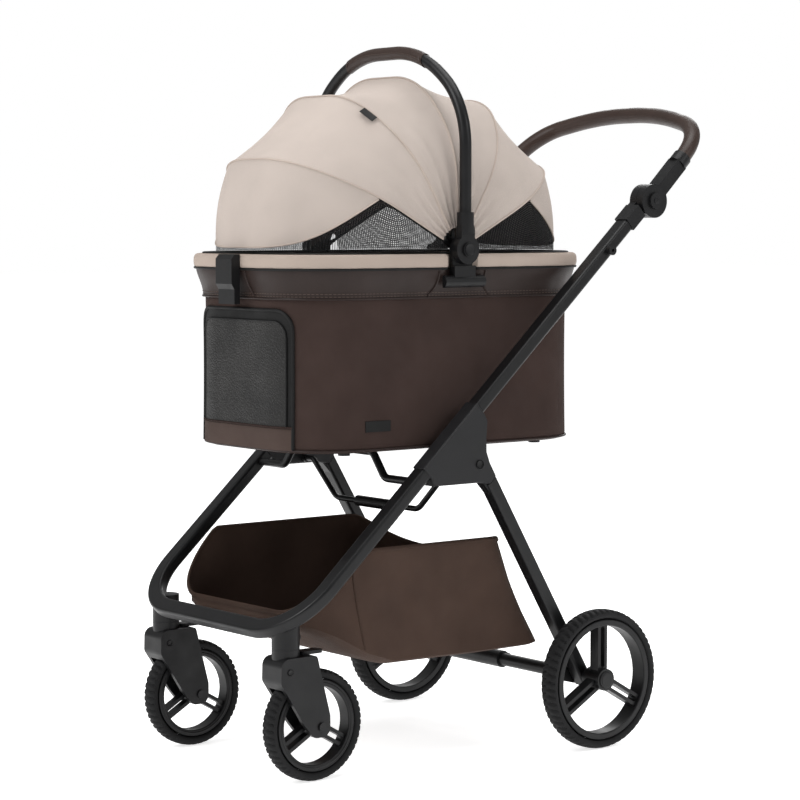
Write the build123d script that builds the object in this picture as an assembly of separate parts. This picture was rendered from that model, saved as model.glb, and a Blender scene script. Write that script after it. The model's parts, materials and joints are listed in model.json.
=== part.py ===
from build123d import *
from math import cos, radians, sin
import os

# Folding pet stroller with a lift-off carrier. Millimetres, +Z up, +Y to the rear, front at -Y.
# +X is the left side as seen by the person who pushes. Left-hand pieces are modelled, then mirrored.

# ---- driving dimensions ----
FRONT_AXLE_Y = -350.8       # puts the origin at the middle of the overall length
WHEELBASE = 484.4
FRONT_WHEEL_R = 82.5
REAR_WHEEL_R = 108.0
FRONT_WHEEL_X = 160.0
REAR_WHEEL_X = 246.5
FRAME_X = 205.0             # middle plane of the side tubes
TUBE_W, TUBE_H, TUBE_CORNER, TUBE_WALL = 26.0, 20.0, 5.0, 1.8
SLOPE = 42.3                # elevation of the main tubes
SLOPE_Z = 289.5             # height of the main tube axis above the front axle
RUN = 0.05                  # radial clearance of a running fit
GAP = 0.3                   # gap between pieces that move past each other


def aft(distance):
    """Y of a point this far behind the front axle."""
    return FRONT_AXLE_Y + distance


REAR_AXLE_Y = aft(WHEELBASE)
CARRIER_Y = aft(262.0)      # middle of the carrier and its handle hubs
HUB_Z = 772.0               # height of the handle hubs


# ---- helpers ----
def side_plane(x):
    """Plane square to X at x, with Y to the right and Z up."""
    return Plane(origin=(x, 0, 0), x_dir=(0, 1, 0), z_dir=(1, 0, 0))


def tilted_plane(y, z, angle):
    """Plane that holds the X axis direction and rises rearwards at the angle."""
    c, s = cos(radians(angle)), sin(radians(angle))
    return Plane(origin=(0, y, z), x_dir=(1, 0, 0), z_dir=(0, -s, c))


def plate(sketch, x0, x1):
    """Side-view sketch extruded from x0 to x1."""
    return extrude(side_plane(x0) * sketch, amount=x1 - x0)


def x_rod(y, z, radius, x0, x1):
    """Cylinder along X."""
    return plate(Pos(y, z) * Circle(radius), x0, x1)


def polygon(*points):
    """Face through side-view points, kept where they are."""
    return make_face(Polyline(*points, close=True))


def polar(centre, radius, angle):
    """Point at a radius and an angle from a side-view centre."""
    return centre[0] + radius * cos(radians(angle)), centre[1] + radius * sin(radians(angle))


def hull(*discs):
    """Outline drawn round discs given as (y, z, radius)."""
    edges = [(Pos(y, z) * Circle(r)).edges() for y, z, r in discs]
    return make_hull([edge for group in edges for edge in group])


def swept(path, section, x_dir=(1, 0, 0)):
    """Section swept along a path from its start."""
    start = Plane(origin=path @ 0, x_dir=x_dir, z_dir=path % 0)
    return sweep(start * section, path=path)


def bent(plane, points, radii, section, x_dir=(1, 0, 0)):
    """Section swept along straight runs joined by arcs, drawn in a plane."""
    return swept(plane * FilletPolyline(*points, radius=radii), section, x_dir)


def ring(outer, inner):
    """Flat ring."""
    return Circle(outer) - Circle(inner)


def u_points(half, low, shoulder_x, shoulder, top_x, top):
    """Points of an arch that is the same on both sides."""
    right = [(half, low), (shoulder_x, shoulder), (top_x, top)]
    return right + [(-x, y) for x, y in reversed(right)]


def mirrored(shape):
    """Right-hand copy of a left-hand piece."""
    return mirror(shape, about=Plane.YZ)


def both_sides(name, shape):
    """Left and right nodes of one piece."""
    return {f"{name}_left": shape, f"{name}_right": mirrored(shape)}


def pair(shape):
    """Left and right copies that share one node."""
    return Compound(children=[*shape.solids(), *mirrored(shape).solids()])


# ---- main tubes ----
INCLINE = tilted_plane(FRONT_AXLE_Y, SLOPE_Z, SLOPE)
LOW_SEAM, HIGH_SEAM = 228.5, 365.0      # where the tubes enter the hub plates, along the slope
FRONT_BAR_S, FRONT_BEND = -94.6, 90.0
HINGE_Y, HINGE_Z = aft(621.0), 846.0    # pivot of the push handle
HINGE_R, HINGE_SOCKET = 26.5, 62.0
TUBE_OUTER = RectangleRounded(TUBE_W, TUBE_H, TUBE_CORNER)
TUBE_BORE = RectangleRounded(TUBE_W - 2 * TUBE_WALL, TUBE_H - 2 * TUBE_WALL, TUBE_CORNER - TUBE_WALL)
HINGE_S = 833.8                         # the pivot's distance along the slope
HINGE_DROP = 6.4                        # the pivot lies this far under the tube axis
STUD_S, STUD_R, STUD_LENGTH = 713.0, 7.5, 9.0


def slope_point(s, rise=0.0):
    """Side-view point at a distance along the main tube axis and a rise square to it."""
    c, n = cos(radians(SLOPE)), sin(radians(SLOPE))
    return FRONT_AXLE_Y + s * c - rise * n, SLOPE_Z + s * n + rise * c


def front_frame(section):
    """U-shaped lower frame: two side tubes and the front bar."""
    points = [(FRAME_X, LOW_SEAM), (FRAME_X, FRONT_BAR_S), (-FRAME_X, FRONT_BAR_S), (-FRAME_X, LOW_SEAM)]
    return bent(INCLINE, points, FRONT_BEND, section)


def upper_tube():
    """Straight tube from the hub plate to the handle hinge."""
    y, z = slope_point(HIGH_SEAM)
    start = Plane(origin=(FRAME_X, y, z), x_dir=(1, 0, 0), z_dir=(0, cos(radians(SLOPE)), sin(radians(SLOPE))))
    return extrude(start * (TUBE_OUTER - TUBE_BORE), amount=HINGE_S - HINGE_SOCKET - HIGH_SEAM)


def accessory_stud():
    """Round stud on the outer face of the upper tube."""
    y, z = slope_point(STUD_S)
    face = FRAME_X + TUBE_W / 2
    stud = x_rod(y, z, STUD_R, face, face + STUD_LENGTH)
    return stud - x_rod(y, z, 2.5, face + STUD_LENGTH - 3, face + STUD_LENGTH)


# ---- hub plates and rear legs ----
LEG_PIVOT = (aft(266.0), 452.0)
LEG_SEAM = (aft(294.0), 425.5)
SHOULDER_R = 38.8
PIN_R = 5.0
GUSSET_HALF = 15.0
TONGUE_HALF = 8.5
LEG_END = 13.0
LEG_PLUG = 40.0
LEG_REACH = Vector(REAR_AXLE_Y - LEG_SEAM[0], FRONT_WHEEL_R + 25.5 - LEG_SEAM[1])
LEG_DIR = LEG_REACH.normalized()


def leg_prism(section, start, end):
    """Straight length of rear leg tube between two distances from its seam."""
    y, z = LEG_SEAM[0] + LEG_DIR.X * start, LEG_SEAM[1] + LEG_DIR.Y * start
    plane = Plane(origin=(FRAME_X, y, z), x_dir=(1, 0, 0), z_dir=(0, LEG_DIR.X, LEG_DIR.Y))
    return extrude(plane * section, amount=end - start)


def rear_leg():
    """Rear leg tube with the tongue that turns inside the hub plate."""
    length = LEG_REACH.length
    leg = leg_prism(TUBE_OUTER, -8, length + LEG_END)
    leg -= leg_prism(TUBE_BORE, LEG_PLUG, length - 20)
    leg -= x_rod(*LEG_PIVOT, SHOULDER_R, FRAME_X - TUBE_W, FRAME_X + TUBE_W)
    root = (LEG_SEAM[0] + LEG_DIR.X * 22, LEG_SEAM[1] + LEG_DIR.Y * 22)
    tongue = hull((*LEG_PIVOT, 11), (*root, 9))
    leg += plate(tongue, FRAME_X - TONGUE_HALF, FRAME_X + TONGUE_HALF)
    leg -= x_rod(*LEG_PIVOT, PIN_R + RUN, FRAME_X - TUBE_W, FRAME_X + TUBE_W)
    return leg - x_rod(REAR_AXLE_Y, REAR_WHEEL_R, AXLE_R, FRAME_X - TUBE_W, FRAME_X + TUBE_W)


def gusset_outline():
    """Side view of the hub plate that joins both tubes and the rear leg."""
    half = TUBE_H / 2 + 1.5
    low_top, low_bottom = slope_point(LOW_SEAM, half), slope_point(LOW_SEAM, -half)
    high_top, high_bottom = slope_point(HIGH_SEAM, half), slope_point(HIGH_SEAM, -half)
    rear = [(aft(283), 517), (aft(281), 492), (aft(281.5), 470), (aft(288), 453), (aft(309), 418)]
    outline = polygon(low_top, high_top, high_bottom, *rear, (aft(262), 424), (aft(180), 424), low_bottom)
    sweep_wedge = polygon(LEG_PIVOT, polar(LEG_PIVOT, 140, -10), polar(LEG_PIVOT, 140, -115))
    leg_room = (Pos(*LEG_PIVOT) * ring(70, SHOULDER_R - 0.5)) & sweep_wedge
    return outline - leg_room


def gusset():
    """Hub plate with bevelled faces and a slot for the leg's tongue."""
    outline, bevel = gusset_outline(), 2.5
    inner, outer = FRAME_X - GUSSET_HALF, FRAME_X + GUSSET_HALF
    body = plate(outline, inner + bevel, outer - bevel)
    body += extrude(side_plane(outer - bevel) * outline, amount=bevel, taper=35)
    body += extrude(side_plane(inner + bevel) * outline, amount=-bevel, taper=35)
    slot = hull((*LEG_PIVOT, 12), (*polar(LEG_PIVOT, 50, -44), 12), (*polar(LEG_PIVOT, 50, -94), 12))
    body -= plate(slot, FRAME_X - TONGUE_HALF - GAP, FRAME_X + TONGUE_HALF + GAP)
    return body - x_rod(*LEG_PIVOT, PIN_R, inner, outer - 4)


def leg_pivot_pin():
    """Pin that the rear leg turns on."""
    return x_rod(*LEG_PIVOT, PIN_R, FRAME_X - GUSSET_HALF, FRAME_X + GUSSET_HALF - 4)


# ---- bars under the carrier ----
SUPPORT_R, SUPPORT_Z = 6.0, 468.5
FRONT_SUPPORT_Y = aft(157.0)
REAR_SUPPORT_Y = aft(238.0)
RELEASE_Y, RELEASE_Z = aft(240.0), 433.0


def front_support_bar():
    """Hat-shaped bar between the main tubes that carries the front of the carrier."""
    plane = Plane(origin=(0, FRONT_SUPPORT_Y, 0), x_dir=(1, 0, 0), z_dir=(0, -1, 0))
    points = [(FRAME_X - TUBE_W / 2, 431), (130, 431), (100, SUPPORT_Z)]
    points += [(-x, z) for x, z in reversed(points)]
    return bent(plane, points, [16, 16, 16, 16], Circle(SUPPORT_R), x_dir=(0, 1, 0))


def rear_support_bar():
    """Bowed bar between the hub plates that carries the rear of the carrier."""
    plane = tilted_plane(REAR_SUPPORT_Y, 452, 9.0)
    reach = (SUPPORT_Z - 452) / sin(radians(9.0))
    points = [(FRAME_X - GUSSET_HALF, 0), (150, 0), (105, reach)]
    points += [(-x, y) for x, y in reversed(points)]
    return bent(plane, points, [24, 24, 24, 24], Circle(SUPPORT_R), x_dir=(0, 1, 0))


def release_bar():
    """Hanging U-shaped rod that the user pulls to release the fold."""
    plane = Plane(origin=(0, RELEASE_Y, 0), x_dir=(1, 0, 0), z_dir=(0, -1, 0))
    inner = FRAME_X - GUSSET_HALF
    points = [(inner - 3, RELEASE_Z), (inner - 22, RELEASE_Z), (105, 376)]
    points += [(-x, z) for x, z in reversed(points)]
    rod = bent(plane, points, [10, 26, 26, 10], Circle(4.5), x_dir=(0, 1, 0))
    return rod + pair(x_rod(RELEASE_Y, RELEASE_Z, 7.0, inner - 5, inner - GAP))


def release_grip():
    """Moulded grip on the middle of the release rod."""
    grip = x_rod(RELEASE_Y, 376, 8.5, -48, 48)
    grip += plate(polygon((RELEASE_Y, 368), (RELEASE_Y + 30, 371), (RELEASE_Y + 30, 375), (RELEASE_Y, 381)), -36, 36)
    return grip - x_rod(RELEASE_Y, 376, 4.5, -50, 50)


# ---- casters ----
SWIVEL_Y = aft(-47.0)
HOUSING_R, HOUSING_BOTTOM, HOUSING_TOP = 20.5, 199.0, 241.0
STEM_R, STEM_TOP = 8.0, 223.0
CROWN_Z = 188.0
FORK_HALF, FORK_SLOT_HALF = 24.5, 17.0
FRONT_AXLE_R = 4.0


def z_rod(x, y, radius, z0, z1):
    """Cylinder along Z."""
    return extrude(Pos(x, y, z0) * Circle(radius), amount=z1 - z0)


def caster_housing():
    """Fixed socket under the frame's front corner that the swivel stem turns in."""
    housing = z_rod(FRONT_WHEEL_X, SWIVEL_Y, HOUSING_R, HOUSING_BOTTOM, HOUSING_TOP)
    housing -= front_frame(TUBE_OUTER)
    housing -= z_rod(FRONT_WHEEL_X, SWIVEL_Y, STEM_R + RUN, HOUSING_BOTTOM, STEM_TOP + 1)
    button = Plane(origin=(FRONT_WHEEL_X, SWIVEL_Y + HOUSING_R - 2, 214), z_dir=(0, 1, 0)) * Circle(5)
    return housing + extrude(button, amount=5)


def fork_outline():
    """Side view of the fork: a broad nose in front that sweeps back to the axle."""
    corners = [(-71, CROWN_Z), (-8, CROWN_Z), (-1, 160), (15, 98), (15, 67), (-14, 67), (-31, 88)]
    corners += [(-56, 128), (-72, 152)]
    radii = [14, 6, 12, 12, 14, 13, 12, 20, 10]
    line = FilletPolyline(*[(aft(y), z) for y, z in corners], radius=radii, close=True)
    return make_face(line)


def caster_fork():
    """Swivelling fork with its stem."""
    fork = plate(fork_outline(), FRONT_WHEEL_X - FORK_HALF, FRONT_WHEEL_X + FORK_HALF)
    slot = x_rod(FRONT_AXLE_Y, FRONT_WHEEL_R, FRONT_WHEEL_R + 5,
                 FRONT_WHEEL_X - FORK_SLOT_HALF, FRONT_WHEEL_X + FORK_SLOT_HALF)
    fork -= slot
    fork += z_rod(FRONT_WHEEL_X, SWIVEL_Y, HOUSING_R, CROWN_Z - 4, HOUSING_BOTTOM - GAP)
    fork += z_rod(FRONT_WHEEL_X, SWIVEL_Y, STEM_R, CROWN_Z, STEM_TOP)
    fork -= x_rod(FRONT_AXLE_Y, FRONT_WHEEL_R, FRONT_AXLE_R, 100, 220)
    return fork - z_rod(FRONT_WHEEL_X, LOCK_PEG_Y, 3 + RUN, CROWN_Z - 14, CROWN_Z + 1)


LOCK_PEG_Y = aft(-17.0)
LOCK_TRAVEL = 3.0


def swivel_lock():
    """Small tab behind the fork's collar, on a peg, that slides up to lock the swivel."""
    tab = Pos(FRONT_WHEEL_X, aft(-5.5), CROWN_Z + GAP) * RectangleRounded(22, 39, 8)
    lock = extrude(tab, amount=5)
    lock -= z_rod(FRONT_WHEEL_X, SWIVEL_Y, HOUSING_R + 1, CROWN_Z, CROWN_Z + 10)
    return lock + z_rod(FRONT_WHEEL_X, LOCK_PEG_Y, 3.0, CROWN_Z - 12, CROWN_Z + 2)


def front_axle():
    """Axle bolt with a domed head and a nut."""
    left, right = FRONT_WHEEL_X - FORK_HALF, FRONT_WHEEL_X + FORK_HALF
    bolt = x_rod(FRONT_AXLE_Y, FRONT_WHEEL_R, FRONT_AXLE_R, left - 3, right + 3)
    bolt += x_rod(FRONT_AXLE_Y, FRONT_WHEEL_R, 6.5, right, right + 3)
    return bolt + x_rod(FRONT_AXLE_Y, FRONT_WHEEL_R, 6.5, left - 3, left)


# ---- wheels ----
TYRE_DEPTH = 14.5
AXLE_R = 6.0


def wheel_pieces(radius, width, hub_r, bore, hub_half):
    """Tyre and three-spoked rim about the Z axis."""
    tyre = revolve(Plane.XZ * Pos(radius - TYRE_DEPTH / 2, 0) * RectangleRounded(TYRE_DEPTH, width, 6), Axis.Z)
    outer = radius - TYRE_DEPTH - RUN
    section = Pos(outer - 5, 0) * RectangleRounded(10, width - 4, 2)
    rim = revolve(Plane.XZ * section, Axis.Z)
    spoke_w, slot_w, thick = 19.0, 8.0, width - 14
    reach = outer - 6
    for angle in (90, 210, 330):
        bar = Pos(reach / 2, 0) * Rectangle(reach, spoke_w)
        slot = Pos((hub_r + outer - 10) / 2, 0) * SlotOverall(outer - 12 - hub_r, slot_w)
        rim += Rot(0, 0, angle) * extrude(bar - slot, amount=thick / 2, both=True)
    rim += extrude(Circle(hub_r), amount=hub_half, both=True)
    return tyre, rim - extrude(Circle(bore), amount=width * 2, both=True)


def placed_wheel(shape, x, y, z):
    """Wheel piece turned to roll about X, with a spoke pointing up."""
    return Pos(x, y, z) * Rot(0, 90, 0) * Rot(0, 0, 90) * shape


def front_wheels():
    """Tyres and rims of the casters."""
    tyre, rim = wheel_pieces(FRONT_WHEEL_R, 28, 13.0, FRONT_AXLE_R + RUN, 15.5)
    place = (FRONT_WHEEL_X, FRONT_AXLE_Y, FRONT_WHEEL_R)
    return {**both_sides("front_tyre", placed_wheel(tyre, *place)),
            **both_sides("front_rim", placed_wheel(rim, *place))}


def rear_wheels():
    """Tyres and rims of the rear wheels."""
    tyre, rim = wheel_pieces(REAR_WHEEL_R, 32, 17.0, AXLE_R + RUN, 17.0)
    place = (REAR_WHEEL_X, REAR_AXLE_Y, REAR_WHEEL_R)
    return {**both_sides("rear_tyre", placed_wheel(tyre, *place)),
            **both_sides("rear_rim", placed_wheel(rim, *place))}


def rear_axle():
    """Stub axle with a retaining washer outside the wheel."""
    outer = REAR_WHEEL_X + 17
    axle = x_rod(REAR_AXLE_Y, REAR_WHEEL_R, AXLE_R, FRAME_X - TUBE_W / 2, outer + 2.5)
    axle += x_rod(REAR_AXLE_Y, REAR_WHEEL_R, 10.0, outer + 0.5, outer + 2.5)
    return axle + x_rod(REAR_AXLE_Y, REAR_WHEEL_R, 10.0, FRAME_X + TUBE_W / 2, REAR_WHEEL_X - 17.5)


# ---- rear cross tube and brake ----
CROSS_Y, CROSS_Z, CROSS_R = aft(445.0), 117.0, 10.0
BRACKET_X0, BRACKET_X1 = 180.0, 192.0


def rear_cross_tube():
    """Round tube between the rear legs."""
    tube = x_rod(CROSS_Y, CROSS_Z, CROSS_R, -BRACKET_X0, BRACKET_X0)
    return tube - x_rod(CROSS_Y, CROSS_Z, CROSS_R - TUBE_WALL, -BRACKET_X0, BRACKET_X0)


def axle_bracket():
    """Plate that joins the cross tube to the leg at the axle."""
    return plate(hull((CROSS_Y, CROSS_Z, 14), (REAR_AXLE_Y, REAR_WHEEL_R, 15)), BRACKET_X0, BRACKET_X1)


def brake_pedal():
    """Barrel that turns on the cross tube, with a foot plate behind."""
    barrel = x_rod(CROSS_Y, CROSS_Z, 13.5, -64, 64)
    foot = hull((CROSS_Y + 6, CROSS_Z, 4), (CROSS_Y + 40, CROSS_Z - 2, 3))
    barrel += plate(foot, -32, 32)
    return barrel - x_rod(CROSS_Y, CROSS_Z, CROSS_R + RUN, -66, 66)


# ---- push handle ----
HANDLE_ANGLE = 43.8
HANDLE_PLANE = tilted_plane(HINGE_Y, HINGE_Z, HANDLE_ANGLE)
HANDLE_X, HANDLE_R, GRIP_R = 207.0, 11.0, 13.0
HANDLE_TOP, HANDLE_SHOULDER, HANDLE_FLAT = 208.0, 164.0, 70.0
HANDLE_BENDS = [85, 380, 380, 85]
ARM_START, ARM_END, COLLAR_END = 28.5, 86.0, 101.0
DISC_X0, DISC_X1 = 207.2, 221.0


def handle_sweep(start, section):
    """Section swept round the push handle's arch."""
    points = u_points(HANDLE_X, start, HANDLE_X, HANDLE_SHOULDER, HANDLE_FLAT, HANDLE_TOP)
    return bent(HANDLE_PLANE, points, HANDLE_BENDS, section)


def handle_plate(angle, outline, x0, x1):
    """Plate drawn from the hinge along a direction in side view."""
    c, s = cos(radians(angle)), sin(radians(angle))
    plane = Plane(origin=(x0, HINGE_Y, HINGE_Z), x_dir=(0, c, s), z_dir=(1, 0, 0))
    return extrude(plane * outline, amount=x1 - x0)


def handle_arm():
    """Arm from the hinge disc to the collar that holds the handle tube."""
    arm = x_rod(HINGE_Y, HINGE_Z, HINGE_R, DISC_X0, DISC_X1)
    arm += handle_plate(HANDLE_ANGLE, Pos(ARM_START / 2 + 1, 0) * Rectangle(ARM_START + 2, 22), DISC_X0, 219)
    middle = (ARM_START + ARM_END) / 2
    arm += handle_plate(HANDLE_ANGLE, Pos(middle, 0) * Rectangle(ARM_END - ARM_START, 22), 195, 219)
    arm += swept(HANDLE_PLANE * Line((HANDLE_X, ARM_END - 2), (HANDLE_X, COLLAR_END)), Circle(15))
    arm -= swept(HANDLE_PLANE * Line((HANDLE_X, ARM_END + 5), (HANDLE_X, COLLAR_END)), Circle(HANDLE_R + RUN))
    arm -= x_rod(HINGE_Y, HINGE_Z, 6 + RUN, DISC_X0, 215)
    return arm - x_rod(HINGE_Y, HINGE_Z, 13.0, 215, DISC_X1)


def handle_hinge():
    """Fixed half of the hinge, with the socket over the upper tube's end."""
    hinge = x_rod(HINGE_Y, HINGE_Z, HINGE_R, FRAME_X - TUBE_W / 2, DISC_X0 - 0.4)
    neck = Pos(-16, HINGE_DROP / 2) * Rectangle(32, TUBE_H + HINGE_DROP)
    hinge += handle_plate(SLOPE, neck, FRAME_X - TUBE_W / 2, DISC_X0 - 0.4)
    middle = -(ARM_START + HINGE_SOCKET) / 2
    socket = Pos(middle, HINGE_DROP) * Rectangle(HINGE_SOCKET - ARM_START, TUBE_H + 3)
    hinge += handle_plate(SLOPE, socket, FRAME_X - TUBE_W / 2 - 1, FRAME_X + TUBE_W / 2 + 1)
    return hinge + x_rod(HINGE_Y, HINGE_Z, 6.0, FRAME_X, 214.5)


def hinge_button():
    """Round button in the hinge disc that frees the handle."""
    return x_rod(HINGE_Y, HINGE_Z, 12.6, 218.5, 225.5)


def push_handle():
    """Nodes of the folding push handle."""
    return {
        "push_handle_bar": handle_sweep(ARM_END + 6, ring(HANDLE_R, HANDLE_R - TUBE_WALL)),
        "push_handle_grip": handle_sweep(COLLAR_END + GAP, ring(GRIP_R, HANDLE_R + RUN)),
        "handle_arms": pair(handle_arm()),
        **both_sides("hinge_button", hinge_button()),
    }


# ---- carrier ----
CARRIER_Z, COLLAR_Z, RIM_Z, RIM_TOP = 475.0, 699.0, 743.0, 766.0
BODY_HALF, BODY_LENGTH, BODY_CORNER = 171.0, 275.0, 105.0
RIM_HALF, RIM_LENGTH, RIM_CORNER = 187.0, 291.0, 117.0
WALL = 4.0
KNUCKLE_X0, KNUCKLE_X1 = 184.4, 197.5


def plan(inset, z, half=BODY_HALF, length=BODY_LENGTH, corner=BODY_CORNER):
    """Rounded plan of the carrier at a height, made smaller by an inset."""
    return Pos(0, CARRIER_Y, z) * RectangleRounded(2 * (half - inset), 2 * (length - inset), corner - inset)


def carrier_body():
    """Open tub of stiffened fabric on a base board."""
    tub = extrude(plan(0, CARRIER_Z), amount=RIM_Z - GAP - CARRIER_Z)
    return tub - extrude(plan(WALL, CARRIER_Z + WALL), amount=RIM_Z - CARRIER_Z)


def carrier_collar():
    """Stiff band round the top of the tub that flares out under the rim."""
    low, high = plan(-2, COLLAR_Z), plan(-13, RIM_Z - GAP)
    band = loft([low, high]) - extrude(plan(-RUN, COLLAR_Z - 1), amount=RIM_Z - COLLAR_Z + 2)
    notch = Pos(0, CARRIER_Y, RIM_Z) * Box(2 * RIM_HALF + 20, 41, 18)
    return band - (notch - Pos(0, CARRIER_Y, RIM_Z) * Box(2 * BODY_HALF + 6, 50, 30))


def carrier_rim():
    """Padded roll round the mouth, notched for the handle brackets."""
    roll = extrude(plan(0, RIM_Z, RIM_HALF, RIM_LENGTH, RIM_CORNER), amount=RIM_TOP - RIM_Z)
    roll -= extrude(plan(21, RIM_Z, RIM_HALF, RIM_LENGTH, RIM_CORNER), amount=RIM_TOP - RIM_Z)
    notch = Box(2 * RIM_HALF + 20, 48, 60) - Box(2 * (RIM_HALF - 14), 60, 70)
    return roll - Pos(0, CARRIER_Y, RIM_Z) * notch


def carrier_pad():
    """Cushion on the base board."""
    return extrude(plan(WALL + 5, CARRIER_Z + WALL + GAP), amount=26)


def carrier_feet():
    """Four rubber feet under the base."""
    feet = [z_rod(x, CARRIER_Y + y, 9, 469.8, CARRIER_Z) for x in (-135, 135) for y in (-185, 185)]
    return Compound(children=[solid for foot in feet for solid in foot.solids()])


def rim_bracket():
    """Plate on the rim that carries the handle hub, with its T-shaped clamp below."""
    outline = hull((CARRIER_Y, HUB_Z, 19), (CARRIER_Y - 12, 741, 7), (CARRIER_Y + 12, 741, 7))
    bracket = plate(outline, 176.2, KNUCKLE_X0 - GAP)
    stem = polygon((CARRIER_Y - 20, 748), (CARRIER_Y + 20, 748), (CARRIER_Y + 20, 722), (CARRIER_Y - 20, 722))
    bracket += plate(stem, KNUCKLE_X0 - GAP - 2, 190.5)
    bar = Plane(origin=(184.6, CARRIER_Y - 38.5, 724.5), z_dir=(0, 1, 0)) * Circle(9.0)
    bar_solid = extrude(bar, amount=77)
    bracket += bar_solid & Pos(194.6, CARRIER_Y, 724.5) * Box(20, 90, 30)
    bracket += x_rod(CARRIER_Y, HUB_Z, 5.0, 176.2, KNUCKLE_X1 + 3.8)
    bracket += x_rod(CARRIER_Y, HUB_Z, 10.5, KNUCKLE_X1 + GAP, KNUCKLE_X1 + 3.8)
    return bracket + x_rod(CARRIER_Y, HUB_Z, 3.0, 158.5, 176.2)


LATCH_Y = CARRIER_Y - RIM_LENGTH - GAP


def latch_buckle():
    """Buckle over the front of the rim."""
    profile = [(0, 692), (0, 766), (-9, 766), (-15, 759), (-15, 722), (-10, 714), (-10, 692)]
    buckle = plate(polygon(*[(LATCH_Y + y, z) for y, z in profile]), -21, 21)
    return buckle - x_rod(LATCH_Y - 7.5, 742, 5.5, -21, -9)


def latch_button():
    """Push button in the buckle's side."""
    return x_rod(LATCH_Y - 7.5, 742, 5.2, -25.5, -13)


# ---- carry handle ----
ARCH_X, ARCH_R = 190.5, 9.0
ARCH_POINTS = u_points(ARCH_X, 26, ARCH_X, 219, 84, 300)
ARCH_BENDS = [130, 185, 185, 130]
ARCH_PLANE = Plane(origin=(0, CARRIER_Y, HUB_Z), x_dir=(1, 0, 0), z_dir=(0, -1, 0))


def carry_handle():
    """Arched tube with a knuckle and a sleeve at each hub."""
    arch = bent(ARCH_PLANE, ARCH_POINTS, ARCH_BENDS, Circle(ARCH_R), x_dir=(0, 1, 0))
    knuckle = x_rod(CARRIER_Y, HUB_Z, 21.5, KNUCKLE_X0, KNUCKLE_X1)
    knuckle += z_rod(ARCH_X, CARRIER_Y, 12.8, HUB_Z + 24, HUB_Z + 56)
    knuckle += plate(hull((CARRIER_Y, HUB_Z + 10, 12.8), (CARRIER_Y, HUB_Z + 30, 12.8)), KNUCKLE_X0, KNUCKLE_X1)
    handle = arch + knuckle + mirrored(knuckle)
    bore = x_rod(CARRIER_Y, HUB_Z, 5.0 + RUN, 170, 210)
    return handle - bore - mirrored(bore)


def carry_grip():
    """Wrapped grip on the top of the arch."""
    whole = bent(ARCH_PLANE, ARCH_POINTS, ARCH_BENDS, ring(ARCH_R + 1.2, ARCH_R + RUN), x_dir=(0, 1, 0))
    keep = Pos(0, CARRIER_Y, HUB_Z + 300) * Box(190, 60, 80)
    return whole & keep


# ---- canopy ----
BOW_ANGLES = {"rear_end": 28.0, "rear_mid": 60.0, "centre": 92.0, "front_mid": 120.0, "front_end": 152.0}
BOW_RADII = {"rear_end": 286.0, "rear_mid": 264.0, "centre": 260.0, "front_mid": 264.0, "front_end": 286.0}
BOW_LAYERS = {"rear_end": 170.7, "rear_mid": 166.1, "centre": 161.5, "front_mid": 163.8, "front_end": 168.4}
ROD_R, ROD_INSET, TAB_LENGTH, EYELET_R = 2.0, 4.6, 30.0, 5.5
COVER_HALF, COVER_THICK, COVER_START = 175.6, 2.0, 34.0
SKIRT_RADIUS = 279.0
COVER_GAP = 0.35            # degrees left between neighbouring covers


def bow_plane(angle):
    """Plane through the hub axis at an angle above the rear."""
    return tilted_plane(CARRIER_Y, HUB_Z, angle)


def bow_path(half, radius, start):
    """Squarish arch drawn from hub to hub."""
    points = u_points(half, start, half, 0.62 * radius, 0.5 * half, radius)
    bends = [0.6 * radius, 0.5 * radius, 0.5 * radius, 0.6 * radius]
    return FilletPolyline(*points, radius=bends)


def canopy_bow(name):
    """One hoop of the canopy: a bent rod with a flat eyelet at each end."""
    angle, radius, layer = BOW_ANGLES[name], BOW_RADII[name], BOW_LAYERS[name]
    rod = swept(bow_plane(angle) * bow_path(layer, radius - ROD_INSET, TAB_LENGTH - 3), Circle(ROD_R))
    tip = polar((CARRIER_Y, HUB_Z), TAB_LENGTH, angle)
    tab = plate(hull((CARRIER_Y, HUB_Z, EYELET_R), (*tip, ROD_R)), layer - 1, layer + 1)
    tab -= x_rod(CARRIER_Y, HUB_Z, 3.0 + RUN, layer - 2, layer + 2)
    return rod + tab + mirrored(tab)


def cover_section(angle, radius):
    """Thin arched band in the plane of a bow."""
    outer = bow_path(COVER_HALF, radius, COVER_START)
    inner = bow_path(COVER_HALF - COVER_THICK, radius - COVER_THICK, COVER_START)
    ends = [Line(outer @ 0, inner @ 0), Line(outer @ 1, inner @ 1)]
    return bow_plane(angle) * make_face([*outer.edges(), *inner.edges(), *ends])


def cover(*stations):
    """Fabric between neighbouring bows, given as (angle, radius)."""
    gore = [loft([cover_section(*a), cover_section(*b)], ruled=True) for a, b in zip(stations, stations[1:])]
    return gore[0] if len(gore) == 1 else gore[0] + gore[1]


def canopy():
    """Bows, fabric covers and end visors."""
    def station(name, shift=0.0):
        return BOW_ANGLES[name] + shift, BOW_RADII[name]
    nodes = {f"canopy_bow_{name}": canopy_bow(name) for name in BOW_ANGLES}
    nodes["canopy_front"] = cover(station("centre", COVER_GAP), station("front_mid"), station("front_end"))
    nodes["canopy_rear"] = cover(station("centre", -COVER_GAP), station("rear_mid"), station("rear_end"))
    nodes["visor_front"] = cover(station("front_end", COVER_GAP), (179.5, SKIRT_RADIUS))
    nodes["visor_rear"] = cover(station("rear_end", -COVER_GAP), (0.5, SKIRT_RADIUS))
    return nodes


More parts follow.
